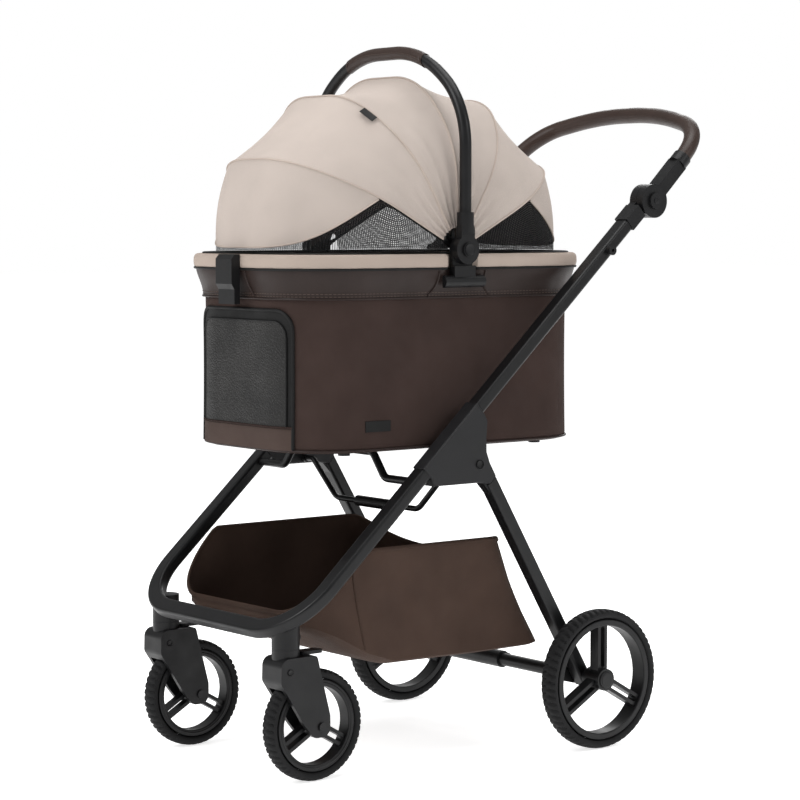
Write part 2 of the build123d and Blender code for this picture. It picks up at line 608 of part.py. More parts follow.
# ---- basket ----
def basket():
    """Storage sling between the side tubes, open at the top."""
    outer = [(-25, 226), (-25, 243), (62, 333), (345, 333), (436, 168), (422, 152), (135, 152), (30, 201)]
    inner = [(-22, 228.4), (-22, 420), (293, 420), (341, 333), (432, 168.5), (420, 155), (135.8, 155), (31, 204)]
    front, rear, half, corner = -25.0, 440.0, 186.0, 80.0
    middle, length = (front + rear) / 2, rear - front
    rear_part = (rear - 170, 340, 32)
    footprint = Pos(0, aft(middle)) * RectangleRounded(2 * half, length, corner)
    footprint += Pos(0, aft(rear_part[0])) * RectangleRounded(2 * half, rear_part[1], rear_part[2])
    inside = Pos(0, aft(middle)) * RectangleRounded(2 * half - 6, length - 6, corner - 3)
    inside += Pos(0, aft(rear_part[0])) * RectangleRounded(2 * half - 6, rear_part[1] - 6, rear_part[2] - 3)
    shell = plate(polygon(*[(aft(y), z) for y, z in outer]), -half, half) & extrude(footprint, amount=500)
    return shell - (plate(polygon(*[(aft(y), z) for y, z in inner]), -half, half) & extrude(inside, amount=500))


def build():
    """Every node of the stroller, by name."""
    return {
        "front_frame": front_frame(TUBE_OUTER - TUBE_BORE),
        **both_sides("upper_tube", upper_tube()),
        **both_sides("gusset", gusset()),
        "front_support_bar": front_support_bar(),
        "rear_support_bar": rear_support_bar(),
        **both_sides("caster_housing", caster_housing()),
        **both_sides("handle_hinge", handle_hinge()),
        "accessory_studs": pair(accessory_stud()),
        "leg_pivot_pins": pair(leg_pivot_pin()),
        "basket": basket(),
        "release_bar": release_bar(),
        "release_grip": release_grip(),
        **both_sides("rear_leg", rear_leg()),
        "rear_cross_tube": rear_cross_tube(),
        "axle_brackets": pair(axle_bracket()),
        "rear_axles": pair(rear_axle()),
        "brake_pedal": brake_pedal(),
        **rear_wheels(),
        **both_sides("caster_fork", caster_fork()),
        **both_sides("swivel_lock", swivel_lock()),
        **both_sides("front_axle", front_axle()),
        **front_wheels(),
        **push_handle(),
        "carrier_body": carrier_body(),
        "carrier_collar": carrier_collar(),
        "carrier_rim": carrier_rim(),
        "carrier_pad": carrier_pad(),
        "carrier_feet": carrier_feet(),
        "rim_brackets": pair(rim_bracket()),
        "latch_buckle": latch_buckle(),
        "latch_button": latch_button(),
        "carry_handle": carry_handle(),
        "carry_grip": carry_grip(),
        **canopy(),
    }


os.makedirs("parts", exist_ok=True)
for node, shape in build().items():
    export_step(shape, f"parts/{node}.step")
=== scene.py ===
"""Looks for a folding pet stroller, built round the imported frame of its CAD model."""

import json
import logging
import math
from dataclasses import dataclass, field
from enum import Enum
from typing import Callable

import bpy
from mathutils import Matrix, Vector

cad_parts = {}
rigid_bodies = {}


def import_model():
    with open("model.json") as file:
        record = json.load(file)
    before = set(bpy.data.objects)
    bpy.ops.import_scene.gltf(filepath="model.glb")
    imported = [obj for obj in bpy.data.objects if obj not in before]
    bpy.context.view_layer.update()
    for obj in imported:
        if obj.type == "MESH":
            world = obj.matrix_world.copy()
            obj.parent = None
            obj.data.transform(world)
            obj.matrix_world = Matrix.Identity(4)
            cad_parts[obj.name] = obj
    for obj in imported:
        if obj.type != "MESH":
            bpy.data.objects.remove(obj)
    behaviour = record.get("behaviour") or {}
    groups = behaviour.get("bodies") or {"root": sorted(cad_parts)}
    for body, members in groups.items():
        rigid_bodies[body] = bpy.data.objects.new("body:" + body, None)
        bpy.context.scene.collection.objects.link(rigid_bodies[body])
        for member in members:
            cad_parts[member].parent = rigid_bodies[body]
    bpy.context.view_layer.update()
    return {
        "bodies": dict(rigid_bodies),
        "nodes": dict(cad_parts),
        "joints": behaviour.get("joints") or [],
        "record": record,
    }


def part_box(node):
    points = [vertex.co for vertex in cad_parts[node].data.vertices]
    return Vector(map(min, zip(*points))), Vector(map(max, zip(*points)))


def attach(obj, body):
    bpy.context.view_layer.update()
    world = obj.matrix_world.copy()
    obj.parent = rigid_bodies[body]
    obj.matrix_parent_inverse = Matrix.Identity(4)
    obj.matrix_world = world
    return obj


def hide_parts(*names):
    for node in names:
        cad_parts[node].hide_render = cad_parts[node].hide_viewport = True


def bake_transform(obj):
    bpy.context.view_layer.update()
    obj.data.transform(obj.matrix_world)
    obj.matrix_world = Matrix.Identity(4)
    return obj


log = logging.getLogger("stroller")
Colour = tuple[float, float, float]
Surface = Callable[[float, float], Vector]
SIDES = {"left": 1.0, "right": -1.0}


# ---------------------------------------------------------------- finishes


class Grain(Enum):
    """The kind of surface detail a finish has."""

    POWDER = "powder"
    MOULDED = "moulded"
    RUBBER = "rubber"
    LEATHER = "leather"
    WEAVE = "weave"
    NET = "net"
    PLUSH = "plush"
    BRUSHED = "brushed"


# Colour share left in the grain's hollows: painted shade; the raised grain gets a matching painted highlight.
HOLLOW_SHADE = {Grain.WEAVE: 0.8, Grain.NET: 0.25, Grain.LEATHER: 0.85, Grain.PLUSH: 0.9}
CREASE_REACH = 0.22


@dataclass(frozen=True)
class Finish:
    """A procedural material: colour, gloss and fine surface detail.

    Attributes:
        name: Name of the material in the file.
        colour: Base colour, linear.
        roughness: Mean roughness.
        grain: Kind of surface detail.
        pitch: Size of one detail in metres.
        depth: Height of the detail in metres.
        mottle: Share by which the colour drifts across the surface.
        metal: Metallic value.
        sheen: Weight of the soft cloth sheen.
        alpha: Opacity.
        gloss: Specular level.
    """

    name: str
    colour: Colour
    roughness: float
    grain: Grain
    pitch: float
    depth: float
    mottle: float = 0.12
    metal: float = 0.0
    sheen: float = 0.0
    alpha: float = 1.0
    gloss: float = 0.25

    def material(self, size: tuple[float, float] = (1.0, 1.0)) -> bpy.types.Material:
        """Returns the material, made on first use.

        Args:
            size: Width and length in metres that the piece's UV square stands for, for woven grains.

        Returns:
            The Blender material.
        """
        woven = self.grain in (Grain.WEAVE, Grain.NET)
        label = f"{self.name}_{size[0]:.2f}_{size[1]:.2f}" if woven else self.name
        found = bpy.data.materials.get(label)
        if found:
            return found
        made = bpy.data.materials.new(label)
        made.use_nodes = True
        shader = made.node_tree.nodes["Principled BSDF"]
        shader.inputs["Metallic"].default_value = self.metal
        shader.inputs["Sheen Weight"].default_value = self.sheen
        shader.inputs["Sheen Roughness"].default_value = 0.5
        shader.inputs["Alpha"].default_value = self.alpha
        shader.inputs["Specular IOR Level"].default_value = self.gloss
        Dressing(made.node_tree, self, size).connect(shader)
        return made


class Dressing:
    """Adds the nodes of one finish to a material's tree."""

    def __init__(self, tree: bpy.types.NodeTree, finish: Finish, size: tuple[float, float]) -> None:
        """Keeps the tree, the finish and the size of the UV square."""
        self.tree = tree
        self.finish = finish
        self.size = size

    def add(self, kind: str, **values: object) -> bpy.types.Node:
        """Adds a node.

        Args:
            kind: Node type without the ShaderNode prefix.
            **values: Node settings; a socket value is given as in_ and its index.

        Returns:
            The new node.
        """
        node = self.tree.nodes.new("ShaderNode" + kind)
        for key, value in values.items():
            if key.startswith("in_"):
                node.inputs[int(key[3:])].default_value = value
            else:
                setattr(node, key, value)
        return node

    def link(self, source: bpy.types.NodeSocket, target: bpy.types.NodeSocket) -> None:
        """Joins two sockets."""
        self.tree.links.new(source, target)

    def place(self, scale: tuple[float, float, float], uv: bool = False) -> bpy.types.NodeSocket:
        """Scaled pattern coordinates, from the object's own space or from its UV map."""
        source = self.add("TexCoord").outputs["UV" if uv else "Object"]
        mapping = self.add("Mapping")
        mapping.inputs["Scale"].default_value = scale
        self.link(source, mapping.inputs["Vector"])
        return mapping.outputs["Vector"]

    def noise(self, scale: float, detail: float = 3.0,
              stretch: tuple[float, float, float] = (1, 1, 1)) -> bpy.types.NodeSocket:
        """Noise height over the object's own space."""
        node = self.add("TexNoise", in_2=scale, in_3=detail)
        self.link(self.place(stretch), node.inputs["Vector"])
        return node.outputs["Fac"]

    def maths(self, operation: str, first: bpy.types.NodeSocket,
              second: object = None) -> bpy.types.NodeSocket:
        """One Math node on a socket and, if given, a second socket or number."""
        node = self.add("Math", operation=operation)
        self.link(first, node.inputs[0])
        if isinstance(second, (int, float)):
            node.inputs[1].default_value = second
        elif second is not None:
            self.link(second, node.inputs[1])
        return node.outputs[0]

    def threads(self) -> bpy.types.NodeSocket:
        """Crossed threads that follow the piece's UV map."""
        turns = tuple(math.pi * side / self.finish.pitch for side in self.size)
        split = self.add("SeparateXYZ")
        self.link(self.place((turns[0], turns[1], 1.0), uv=True), split.inputs[0])
        warp = self.maths("SINE", split.outputs[0])
        weft = self.maths("SINE", split.outputs[1])
        return self.maths("ABSOLUTE", self.maths("MULTIPLY", warp, weft))

    def leather(self) -> bpy.types.NodeSocket:
        """Fine creases between rounded grains."""
        cells = self.add("TexVoronoi", feature="DISTANCE_TO_EDGE")
        cells.inputs["Scale"].default_value = 1.0 / self.finish.pitch
        self.link(self.place((1, 1, 1)), cells.inputs["Vector"])
        return self.maths("MINIMUM", cells.outputs["Distance"], CREASE_REACH)

    def height(self) -> bpy.types.NodeSocket:
        """Height pattern of the grain."""
        finish = self.finish
        if finish.grain in (Grain.WEAVE, Grain.NET):
            return self.threads()
        if finish.grain is Grain.LEATHER:
            return self.leather()
        if finish.grain is Grain.BRUSHED:
            return self.noise(1.0 / finish.pitch, 2.0, (0.04, 1, 1))
        return self.noise(1.0 / finish.pitch, 4.0)

    def drift(self, low: float, high: float, source: bpy.types.NodeSocket) -> bpy.types.NodeSocket:
        """A value that runs from low to high as the source goes from 0.3 to 0.7."""
        node = self.add("MapRange", in_1=0.3, in_2=0.7, in_3=low, in_4=high)
        self.link(source, node.inputs[0])
        return node.outputs[0]

    def colour(self, height: bpy.types.NodeSocket) -> bpy.types.NodeSocket:
        """Base colour with broad drift, painted shade in the grain's hollows and a painted highlight on its
        raised parts.
        """
        finish = self.finish
        broad = self.drift(1 - finish.mottle, 1 + finish.mottle, self.noise(14.0, 5.0))
        deep = HOLLOW_SHADE.get(finish.grain, 1.0)
        reach = CREASE_REACH if finish.grain is Grain.LEATHER else 1.0
        # Painted shade in the hollows and painted highlight on the raised grain, both following the bump
        # height.
        fine = self.add("MapRange", in_1=0.0, in_2=reach, in_3=deep, in_4=1.0 + (1.0 - deep) * 0.4)
        self.link(height, fine.inputs[0])
        level = self.maths("MULTIPLY", broad, fine.outputs[0])
        tint = self.add("Mix", data_type="RGBA", blend_type="MULTIPLY", in_0=1.0)
        tint.inputs[6].default_value = (*finish.colour, 1.0)
        grey = self.add("CombineColor")
        for channel in range(3):
            self.link(level, grey.inputs[channel])
        self.link(grey.outputs[0], tint.inputs[7])
        return tint.outputs[2]

    def connect(self, shader: bpy.types.Node) -> None:
        """Feeds colour, roughness and relief to the shader."""
        finish = self.finish
        height = self.height()
        self.link(self.colour(height), shader.inputs["Base Color"])
        rough = self.drift(finish.roughness - 0.07, finish.roughness + 0.07, self.noise(40.0, 4.0))
        self.link(rough, shader.inputs["Roughness"])
        bump = self.add("Bump")
        bump.inputs["Distance"].default_value = finish.depth
        bump.inputs["Strength"].default_value = 1.0
        if finish.grain is Grain.NET:
            holes = self.add("MapRange", in_1=0.05, in_2=0.6, in_3=min(finish.alpha * 2.1, 0.95),
                             in_4=finish.alpha * 0.25)
            self.link(height, holes.inputs[0])
            self.link(holes.outputs[0], shader.inputs["Alpha"])
        self.link(height, bump.inputs["Height"])
        self.link(bump.outputs[0], shader.inputs["Normal"])


FRAME_BLACK = Finish("frame_powder_coat", (0.006, 0.006, 0.0065), 0.36, Grain.POWDER, 0.0006, 0.00003)
HUB_GREY = Finish("hub_plate_nylon", (0.011, 0.011, 0.012), 0.46, Grain.MOULDED, 0.0006, 0.00006)
ROD_BLACK = Finish("painted_rod", (0.006, 0.006, 0.0065), 0.34, Grain.POWDER, 0.0008, 0.00002)
NYLON_BLACK = Finish("moulded_nylon", (0.006, 0.006, 0.0065), 0.4, Grain.MOULDED, 0.0007, 0.00006)
WHEEL_BLACK = Finish("wheel_nylon", (0.006, 0.006, 0.0065), 0.38, Grain.MOULDED, 0.0009, 0.00006)
TYRE_BLACK = Finish("foam_rubber", (0.014, 0.014, 0.0145), 0.7, Grain.RUBBER, 0.0008, 0.00014, gloss=0.12)
BROWN_LEATHER = Finish("brown_faux_leather", (0.024, 0.0155, 0.0135), 0.42, Grain.LEATHER, 0.0015, 0.00016,
                       gloss=0.16)
GRIP_LEATHER = Finish("grip_faux_leather", (0.036, 0.022, 0.0175), 0.4, Grain.LEATHER, 0.0013, 0.00014)
BROWN_CLOTH = Finish("brown_woven_polyester", (0.047, 0.0305, 0.0265), 0.8, Grain.WEAVE, 0.0013, 0.0003,
                     gloss=0.08)
STRIP_CLOTH = Finish("door_strip_cloth", (0.07, 0.049, 0.042), 0.8, Grain.WEAVE, 0.0013, 0.0003, gloss=0.1)
BASKET_CLOTH = Finish("basket_woven_polyester", (0.066, 0.0415, 0.032), 0.8, Grain.WEAVE, 0.0012, 0.0003,
                      gloss=0.1)
BEIGE_CLOTH = Finish("beige_woven_polyester", (0.53, 0.46, 0.415), 0.86, Grain.WEAVE, 0.001, 0.0002, 0.05,
                     gloss=0.15)
RIM_CLOTH = Finish("rim_woven_polyester", (0.43, 0.355, 0.305), 0.86, Grain.WEAVE, 0.001, 0.0002, 0.05,
                   gloss=0.15)
BEIGE_PIPING = Finish("beige_piping", (0.43, 0.36, 0.315), 0.85, Grain.PLUSH, 0.001, 0.0001, 0.05)
BLACK_TAPE = Finish("black_webbing", (0.006, 0.006, 0.006), 0.6, Grain.PLUSH, 0.0009, 0.00016, gloss=0.2)
BLACK_NET = Finish("black_net", (0.03, 0.03, 0.031), 0.7, Grain.NET, 0.0034, 0.0005, 0.3, alpha=0.3)
# Darker, more opaque copy of the black net for the rear windows: painted shade, standing for the shaded
# inside seen through the near rear window.
SHADED_REAR_NET = Finish("dense_black_net", (0.012, 0.012, 0.013), 0.7, Grain.NET, 0.0034, 0.0006, 0.4, alpha=0.5)
DOOR_NET = Finish("door_net", (0.009, 0.0085, 0.008), 0.5, Grain.LEATHER, 0.0048, 0.0016, 0.5, gloss=0.3)
GREY_PLUSH = Finish("pad_plush", (0.5, 0.42, 0.35), 0.95, Grain.PLUSH, 0.0018, 0.0006, 0.08, sheen=0.3)
BROWN_THREAD = Finish("brown_thread", (0.08, 0.056, 0.046), 0.6, Grain.BRUSHED, 0.0005, 0.00005)
BLACK_LABEL = Finish("blank_label", (0.004, 0.004, 0.004), 0.6, Grain.PLUSH, 0.0006, 0.00008)


# ---------------------------------------------------------------- shaping


def clear_selection() -> None:
    """Deselects every object."""
    bpy.ops.object.select_all(action="DESELECT")


def take(obj: bpy.types.Object) -> None:
    """Makes one object the only selected and the active one."""
    clear_selection()
    obj.select_set(True)
    bpy.context.view_layer.objects.active = obj


def laid_grid(name: str, columns: int, rows: int, surface: Surface, close: bool = False) -> bpy.types.Object:
    """Adds a grid and lays its points on a surface.

    Args:
        name: Name of the piece.
        columns: Faces along the first direction.
        rows: Faces along the second direction.
        surface: Place of each point, from two shares between 0 and 1.
        close: Whether points that meet are merged.

    Returns:
        The new object, at the origin.
    """
    clear_selection()
    bpy.ops.mesh.primitive_grid_add(x_subdivisions=columns, y_subdivisions=rows, size=2.0)
    obj = bpy.context.object
    obj.name = name
    for vertex in obj.data.vertices:
        vertex.co = surface((vertex.co.x + 1.0) / 2.0, (vertex.co.y + 1.0) / 2.0)
    if close:
        merge(obj)
    return obj


def merge(obj: bpy.types.Object, outward: bool = False) -> None:
    """Merges points that meet and, if asked, fills every hole and turns the faces outwards."""
    take(obj)
    bpy.ops.object.mode_set(mode="EDIT")
    bpy.ops.mesh.select_all(action="SELECT")
    bpy.ops.mesh.remove_doubles(threshold=1e-5)
    if outward:
        bpy.ops.mesh.fill_holes(sides=0)
        bpy.ops.mesh.normals_make_consistent(inside=False)
    bpy.ops.object.mode_set(mode="OBJECT")


def modified(obj: bpy.types.Object, kind: str, **settings: object) -> None:
    """Adds a modifier and applies it."""
    take(obj)
    modifier = obj.modifiers.new(kind.title(), kind)
    for key, value in settings.items():
        setattr(modifier, key, value)
    bpy.ops.object.modifier_apply(modifier=modifier.name)


def thickened(obj: bpy.types.Object, depth: float) -> None:
    """Gives a sheet its thickness on the inner side."""
    modified(obj, "SOLIDIFY", thickness=depth, offset=-1.0)


def finished(obj: bpy.types.Object, finish: Finish, size: tuple[float, float] = (1.0, 1.0),
             angle: float = 40.0) -> bpy.types.Object:
    """Gives a piece its material and smooth shading.

    Args:
        obj: The piece.
        finish: Its finish.
        size: Width and length that its UV square stands for.
        angle: Edges sharper than this stay sharp, in degrees.

    Returns:
        The piece.
    """
    obj.data.materials.clear()
    obj.data.materials.append(finish.material(size))
    take(obj)
    bpy.ops.object.shade_smooth_by_angle(angle=math.radians(angle))
    log.info("finished %s", obj.name)
    return obj


def joined(name: str, parts: list[bpy.types.Object]) -> bpy.types.Object:
    """Joins parts into one piece with its place in its mesh."""
    clear_selection()
    for part in parts:
        part.select_set(True)
    bpy.context.view_layer.objects.active = parts[0]
    if len(parts) > 1:
        bpy.ops.object.join()
    obj = bpy.context.object
    obj.name = name
    bpy.ops.object.transform_apply(location=True, rotation=True, scale=True)
    return obj


def cord_round(name: str, points: list[Vector], radius: float, ring: bool = False, sides: int = 8,
               squash: float = 1.0) -> bpy.types.Object:
    """Lays a round or oval cord along points, such as piping, a hem or a zip.

    Args:
        name: Name of the piece.
        points: The line it follows.
        radius: Its radius.
        ring: Whether the line closes on itself.
        sides: Faces round it.
        squash: Height of the section as a share of its width.

    Returns:
        The cord.
    """
    line = points + points[:1] if ring else points
    count = len(line) - 1
    frames = []
    across = Vector((0, 0, 1))
    for index in range(len(line)):
        if ring:
            ahead = line[(index + 1) % count] - line[(index - 1) % count]
        else:
            ahead = line[min(index + 1, count)] - line[max(index - 1, 0)]
        ahead.normalize()
        across = across - ahead * across.dot(ahead)
        if across.length < 1e-4:
            across = ahead.orthogonal()
        across.normalize()
        frames.append((across.copy(), ahead.cross(across)))
    if ring:
        frames[-1] = frames[0]

    def surface(along: float, round_: float) -> Vector:
        index = min(round(along * count), count)
        first, second = frames[index]
        angle = -math.tau * round_
        return line[index] + first * (radius * math.cos(angle) * squash) + second * (radius * math.sin(angle))

    obj = laid_grid(name, count, sides, surface)
    merge(obj, outward=True)
    return obj


def stitches(name: str, points: list[Vector], length: float = 0.0034, gap: float = 0.0016,
             radius: float = 0.00045) -> bpy.types.Object:
    """Lays a row of short thread stitches along points.

    Args:
        name: Name of the piece.
        points: The line of the seam.
        length: Length of one stitch.
        gap: Space between stitches.
        radius: Radius of the thread.

    Returns:
        All the stitches as one piece.
    """
    lengths = [0.0]
    for before, after in zip(points, points[1:]):
        lengths.append(lengths[-1] + (after - before).length)
    clear_selection()
    bpy.ops.mesh.primitive_cylinder_add(vertices=5, radius=radius, depth=length)
    pattern = bpy.context.object
    parts = [pattern]
    place, index = gap, 0
    while place + length < lengths[-1]:
        while lengths[index + 1] < place + length / 2:
            index += 1
        ahead = points[index + 1] - points[index]
        share = (place + length / 2 - lengths[index]) / max(ahead.length, 1e-9)
        copy = bpy.data.objects.new(name, pattern.data.copy())
        bpy.context.scene.collection.objects.link(copy)
        turn = ahead.to_track_quat("Z", "Y").to_matrix().to_4x4()
        turn.translation = points[index] + ahead * share
        copy.matrix_world = turn
        parts.append(copy)
        place += length + gap
    bpy.data.objects.remove(parts.pop(0))
    return joined(name, parts)


def rounded_line(corners: list[tuple[float, float]], radii: list[float],
                 step: float = 0.012) -> list[tuple[float, float]]:
    """Points along straight runs joined by arcs, in a plane.

    Args:
        corners: Ends and corners of the line.
        radii: Radius at each inner corner.
        step: Largest distance between points.

    Returns:
        The points, from the first end to the last.
    """
    out = [Vector(corners[0])]
    for index, radius in enumerate(radii, start=1):
        corner = Vector(corners[index])
        back = (Vector(corners[index - 1]) - corner).normalized()
        ahead = (Vector(corners[index + 1]) - corner).normalized()
        half = back.angle(ahead) / 2.0
        reach = radius / math.tan(half)
        centre = corner + (back + ahead).normalized() * (radius / math.sin(half))
        start, end = corner + back * reach - centre, corner + ahead * reach - centre
        turn = start.angle_signed(end)
        count = max(3, round(abs(turn) * radius / step))
        for part in range(count + 1):
            angle = -turn * part / count
            spun = Vector((start.x * math.cos(angle) - start.y * math.sin(angle),
                           start.x * math.sin(angle) + start.y * math.cos(angle)))
            out.append(centre + spun)
    out.append(Vector(corners[-1]))
    return [tuple(point) for point in out]


def resampled(points: list, count: int) -> list[Vector]:
    """Points at equal spaces along a line."""
    line = [Vector(point) for point in points]
    lengths = [0.0]
    for before, after in zip(line, line[1:]):
        lengths.append(lengths[-1] + (after - before).length)
    out, index = [], 0
    for step in range(count + 1):
        wanted = lengths[-1] * step / count
        while index < len(line) - 2 and lengths[index + 1] < wanted:
            index += 1
        share = (wanted - lengths[index]) / max(lengths[index + 1] - lengths[index], 1e-9)
        out.append(line[index].lerp(line[index + 1], min(max(share, 0.0), 1.0)))
    return out


def smooth_step(value: float) -> float:
    """Eased value between 0 and 1."""
    value = min(max(value, 0.0), 1.0)
    return value * value * (3.0 - 2.0 * value)


@dataclass
class Plan:
    """Rounded rectangle seen from above.

    Attributes:
        centre: Y of its middle.
        half: Half width in X.
        length: Half length in Y.
        corner: Corner radius.
        back: Corner radius at the rear, when it differs.
    """

    centre: float
    half: float
    length: float
    corner: float
    back: float = 0.0

    def __post_init__(self) -> None:
        """Gives the rear the same corners unless told otherwise."""
        self.back = self.back or self.corner

    def perimeter(self) -> float:
        """Length of the outline."""
        return 4 * (self.half + self.length) - (4 - math.pi) * (self.corner + self.back)

    def point(self, distance: float, z: float, out: float = 0.0) -> Vector:
        """Point on the outline.

        Args:
            distance: Way along the outline from the middle of the front, towards +X.
            z: Height.
            out: Distance outside the outline.

        Returns:
            The point.
        """
        total = self.perimeter()
        distance = (distance + total / 2) % total - total / 2
        side = 1.0 if distance >= 0 else -1.0
        front, rear = self.half - self.corner, self.half - self.back
        first = front + math.pi * self.corner / 2
        second = first + 2 * self.length - self.corner - self.back
        third = second + math.pi * self.back / 2
        way = abs(distance)
        if way <= front:
            x, y, nx, ny = way, -self.length, 0.0, -1.0
        elif way <= first:
            turn = (way - front) / self.corner
            nx, ny = math.sin(turn), -math.cos(turn)
            x, y = front + self.corner * nx, self.corner - self.length + self.corner * ny
        elif way <= second:
            x, y, nx, ny = self.half, self.corner - self.length + way - first, 1.0, 0.0
        elif way <= third:
            turn = (way - second) / self.back
            nx, ny = math.cos(turn), math.sin(turn)
            x, y = rear + self.back * nx, self.length - self.back + self.back * ny
        else:
            x, y, nx, ny = rear - (way - third), self.length, 0.0, 1.0
        return Vector((side * (x + nx * out), self.centre + y + ny * out, z))

    def ring(self, z: float, out: float, count: int = 160) -> list[Vector]:
        """Points all the way round at one height."""
        total = self.perimeter()
        return [self.point(total * index / count, z, out) for index in range(count)]


@dataclass
class Sizes:
    """Places that the pieces are built from, read from the frame."""

    body_low: Vector = field(init=False)
    body_high: Vector = field(init=False)
    rim_low: Vector = field(init=False)
    rim_high: Vector = field(init=False)
    hub: Vector = field(init=False)

    def __post_init__(self) -> None:
        """Reads the boxes of the nodes that the fabric hangs from."""
        self.body_low, self.body_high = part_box("carrier_body")
        self.rim_low, self.rim_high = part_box("carrier_rim")
        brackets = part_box("rim_brackets")
        self.hub = Vector((0.0, (brackets[0].y + brackets[1].y) / 2, self.rim_high.z + 0.006))

    def body_plan(self) -> Plan:
        """Outline of the tub."""
        return Plan(self.hub.y, self.body_high.x, (self.body_high.y - self.body_low.y) / 2, 0.105)

    def rim_plan(self) -> Plan:
        """Outline of the rim."""
        return Plan(self.hub.y, self.rim_high.x, (self.rim_high.y - self.rim_low.y) / 2, 0.117)


# ---------------------------------------------------------------- frame and wheels


@dataclass
class FrameDress:
    """Finishes of the hard CAD pieces that are shown as they are."""

    finishes: dict[str, Finish] = field(default_factory=lambda: {
        "front_frame": FRAME_BLACK, "upper_tube": FRAME_BLACK, "rear_leg": FRAME_BLACK,
        "rear_cross_tube": FRAME_BLACK, "push_handle_bar": FRAME_BLACK, "gusset": HUB_GREY,
        "front_support_bar": ROD_BLACK, "rear_support_bar": ROD_BLACK, "release_bar": ROD_BLACK,
        "leg_pivot_pins": ROD_BLACK, "rear_axles": ROD_BLACK, "front_axle": ROD_BLACK,
        "carry_handle": FRAME_BLACK,
        "canopy_bow": ROD_BLACK, "rear_rim": WHEEL_BLACK, "front_rim": WHEEL_BLACK,
    })

    def dress(self, nodes: dict[str, bpy.types.Object]) -> None:
        """Gives every CAD node its material, moulded nylon where nothing else is named."""
        for name, obj in nodes.items():
            finish = next((f for key, f in self.finishes.items() if name.startswith(key)), NYLON_BLACK)
            obj.data.materials.clear()
            obj.data.materials.append(finish.material())
        log.info("dressed %d frame pieces", len(nodes))


@dataclass
class Tyre:
    """Foam tyre with a moulded tread.

    Attributes:
        node: CAD node that it stands for.
        body: Body that it rides on.
        lugs: Tread blocks round the tyre.
        depth: Depth of the grooves.
    """

    node: str
    body: str
    lugs: int = 54
    depth: float = 0.003

    def groove(self, turn: float, across: float) -> float:
        """Depth of the tread at a share of a turn and a place from -1 to 1 across it."""
        if abs(across) > 0.97:
            return 0.0
        shift = 0.5 * abs(across) + (0.25 if across > 0 else 0.0)
        wave = (turn * self.lugs + shift) % 1.0
        cut = 1.0 if wave < 0.28 and abs(across) > 0.16 else 0.0
        return cut * self.depth

    def build(self) -> bpy.types.Object:
        """Builds the tyre in place of its CAD node."""
        low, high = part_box(self.node)
        centre = (low + high) / 2
        radius, half = (high.z - low.z) / 2, (high.x - low.x) / 2
        inner = radius - 0.0145

        def surface(turn: float, round_: float) -> Vector:
            angle = math.tau * round_
            side = math.copysign(abs(math.sin(angle)) ** 0.75, math.sin(angle))
            rise = math.copysign(abs(math.cos(angle)) ** 0.8, math.cos(angle))
            mid = (radius + inner) / 2
            reach = mid + rise * (radius - inner) / 2
            if rise > -0.1:
                reach -= self.groove(turn, side)
            around = math.tau * turn
            return centre + Vector((side * half, reach * math.sin(around), reach * math.cos(around)))

        obj = laid_grid(self.node.replace("tyre", "foam_tyre"), self.lugs * 5, 28, surface)
        merge(obj, outward=True)
        finished(obj, TYRE_BLACK, angle=50)
        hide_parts(self.node)
        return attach(obj, self.body)


@dataclass
class Wheels:
    """Tyres, bead rings and hub caps of the four wheels."""

    cap: float = 0.0165

    def trim(self, rim: str, body: str, outer: float, side: float) -> None:
        """Adds the raised bead ring and hub cap on a wheel's outer face.

        Args:
            rim: CAD node of the rim.
            body: Body of the wheel.
            outer: Radius of the bead ring.
            side: Sign of X on which the outer face lies.
        """
        low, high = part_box(rim)
        centre = (low + high) / 2
        for sign in (-1.0, 1.0):
            points = [centre + Vector((sign * 0.0108, outer * math.sin(a), outer * math.cos(a)))
                      for a in (math.tau * k / 72 for k in range(72))]
            bead = cord_round(f"{rim}_bead_{'in' if sign < 0 else 'out'}", points, 0.0021, ring=True)
            finished(bead, WHEEL_BLACK)
            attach(bead, body)
        face = high.x if side > 0 else low.x
        clear_selection()
        bpy.ops.mesh.primitive_cylinder_add(vertices=48, radius=self.cap * 0.8, depth=0.003,
                                            location=(face + side * 0.0005, centre.y, centre.z),
                                            rotation=(0, math.pi / 2, 0))
        cap = joined(f"{rim}_cap", [bpy.context.object])
        modified(cap, "BEVEL", width=0.0011, segments=3, limit_method="ANGLE")
        finished(cap, NYLON_BLACK, angle=30)
        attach(cap, body)

    def build(self) -> None:
        """Builds all four wheels."""
        for name, side in SIDES.items():
            Tyre(f"rear_tyre_{name}", f"rear_wheel_{name}", lugs=60).build()
            Tyre(f"front_tyre_{name}", f"front_wheel_{name}", lugs=50).build()
            self.trim(f"rear_rim_{name}", f"rear_wheel_{name}", 0.0875, side)
            self.trim(f"front_rim_{name}", f"front_wheel_{name}", 0.0625, side)
        log.info("built the wheels")


# ---------------------------------------------------------------- carrier


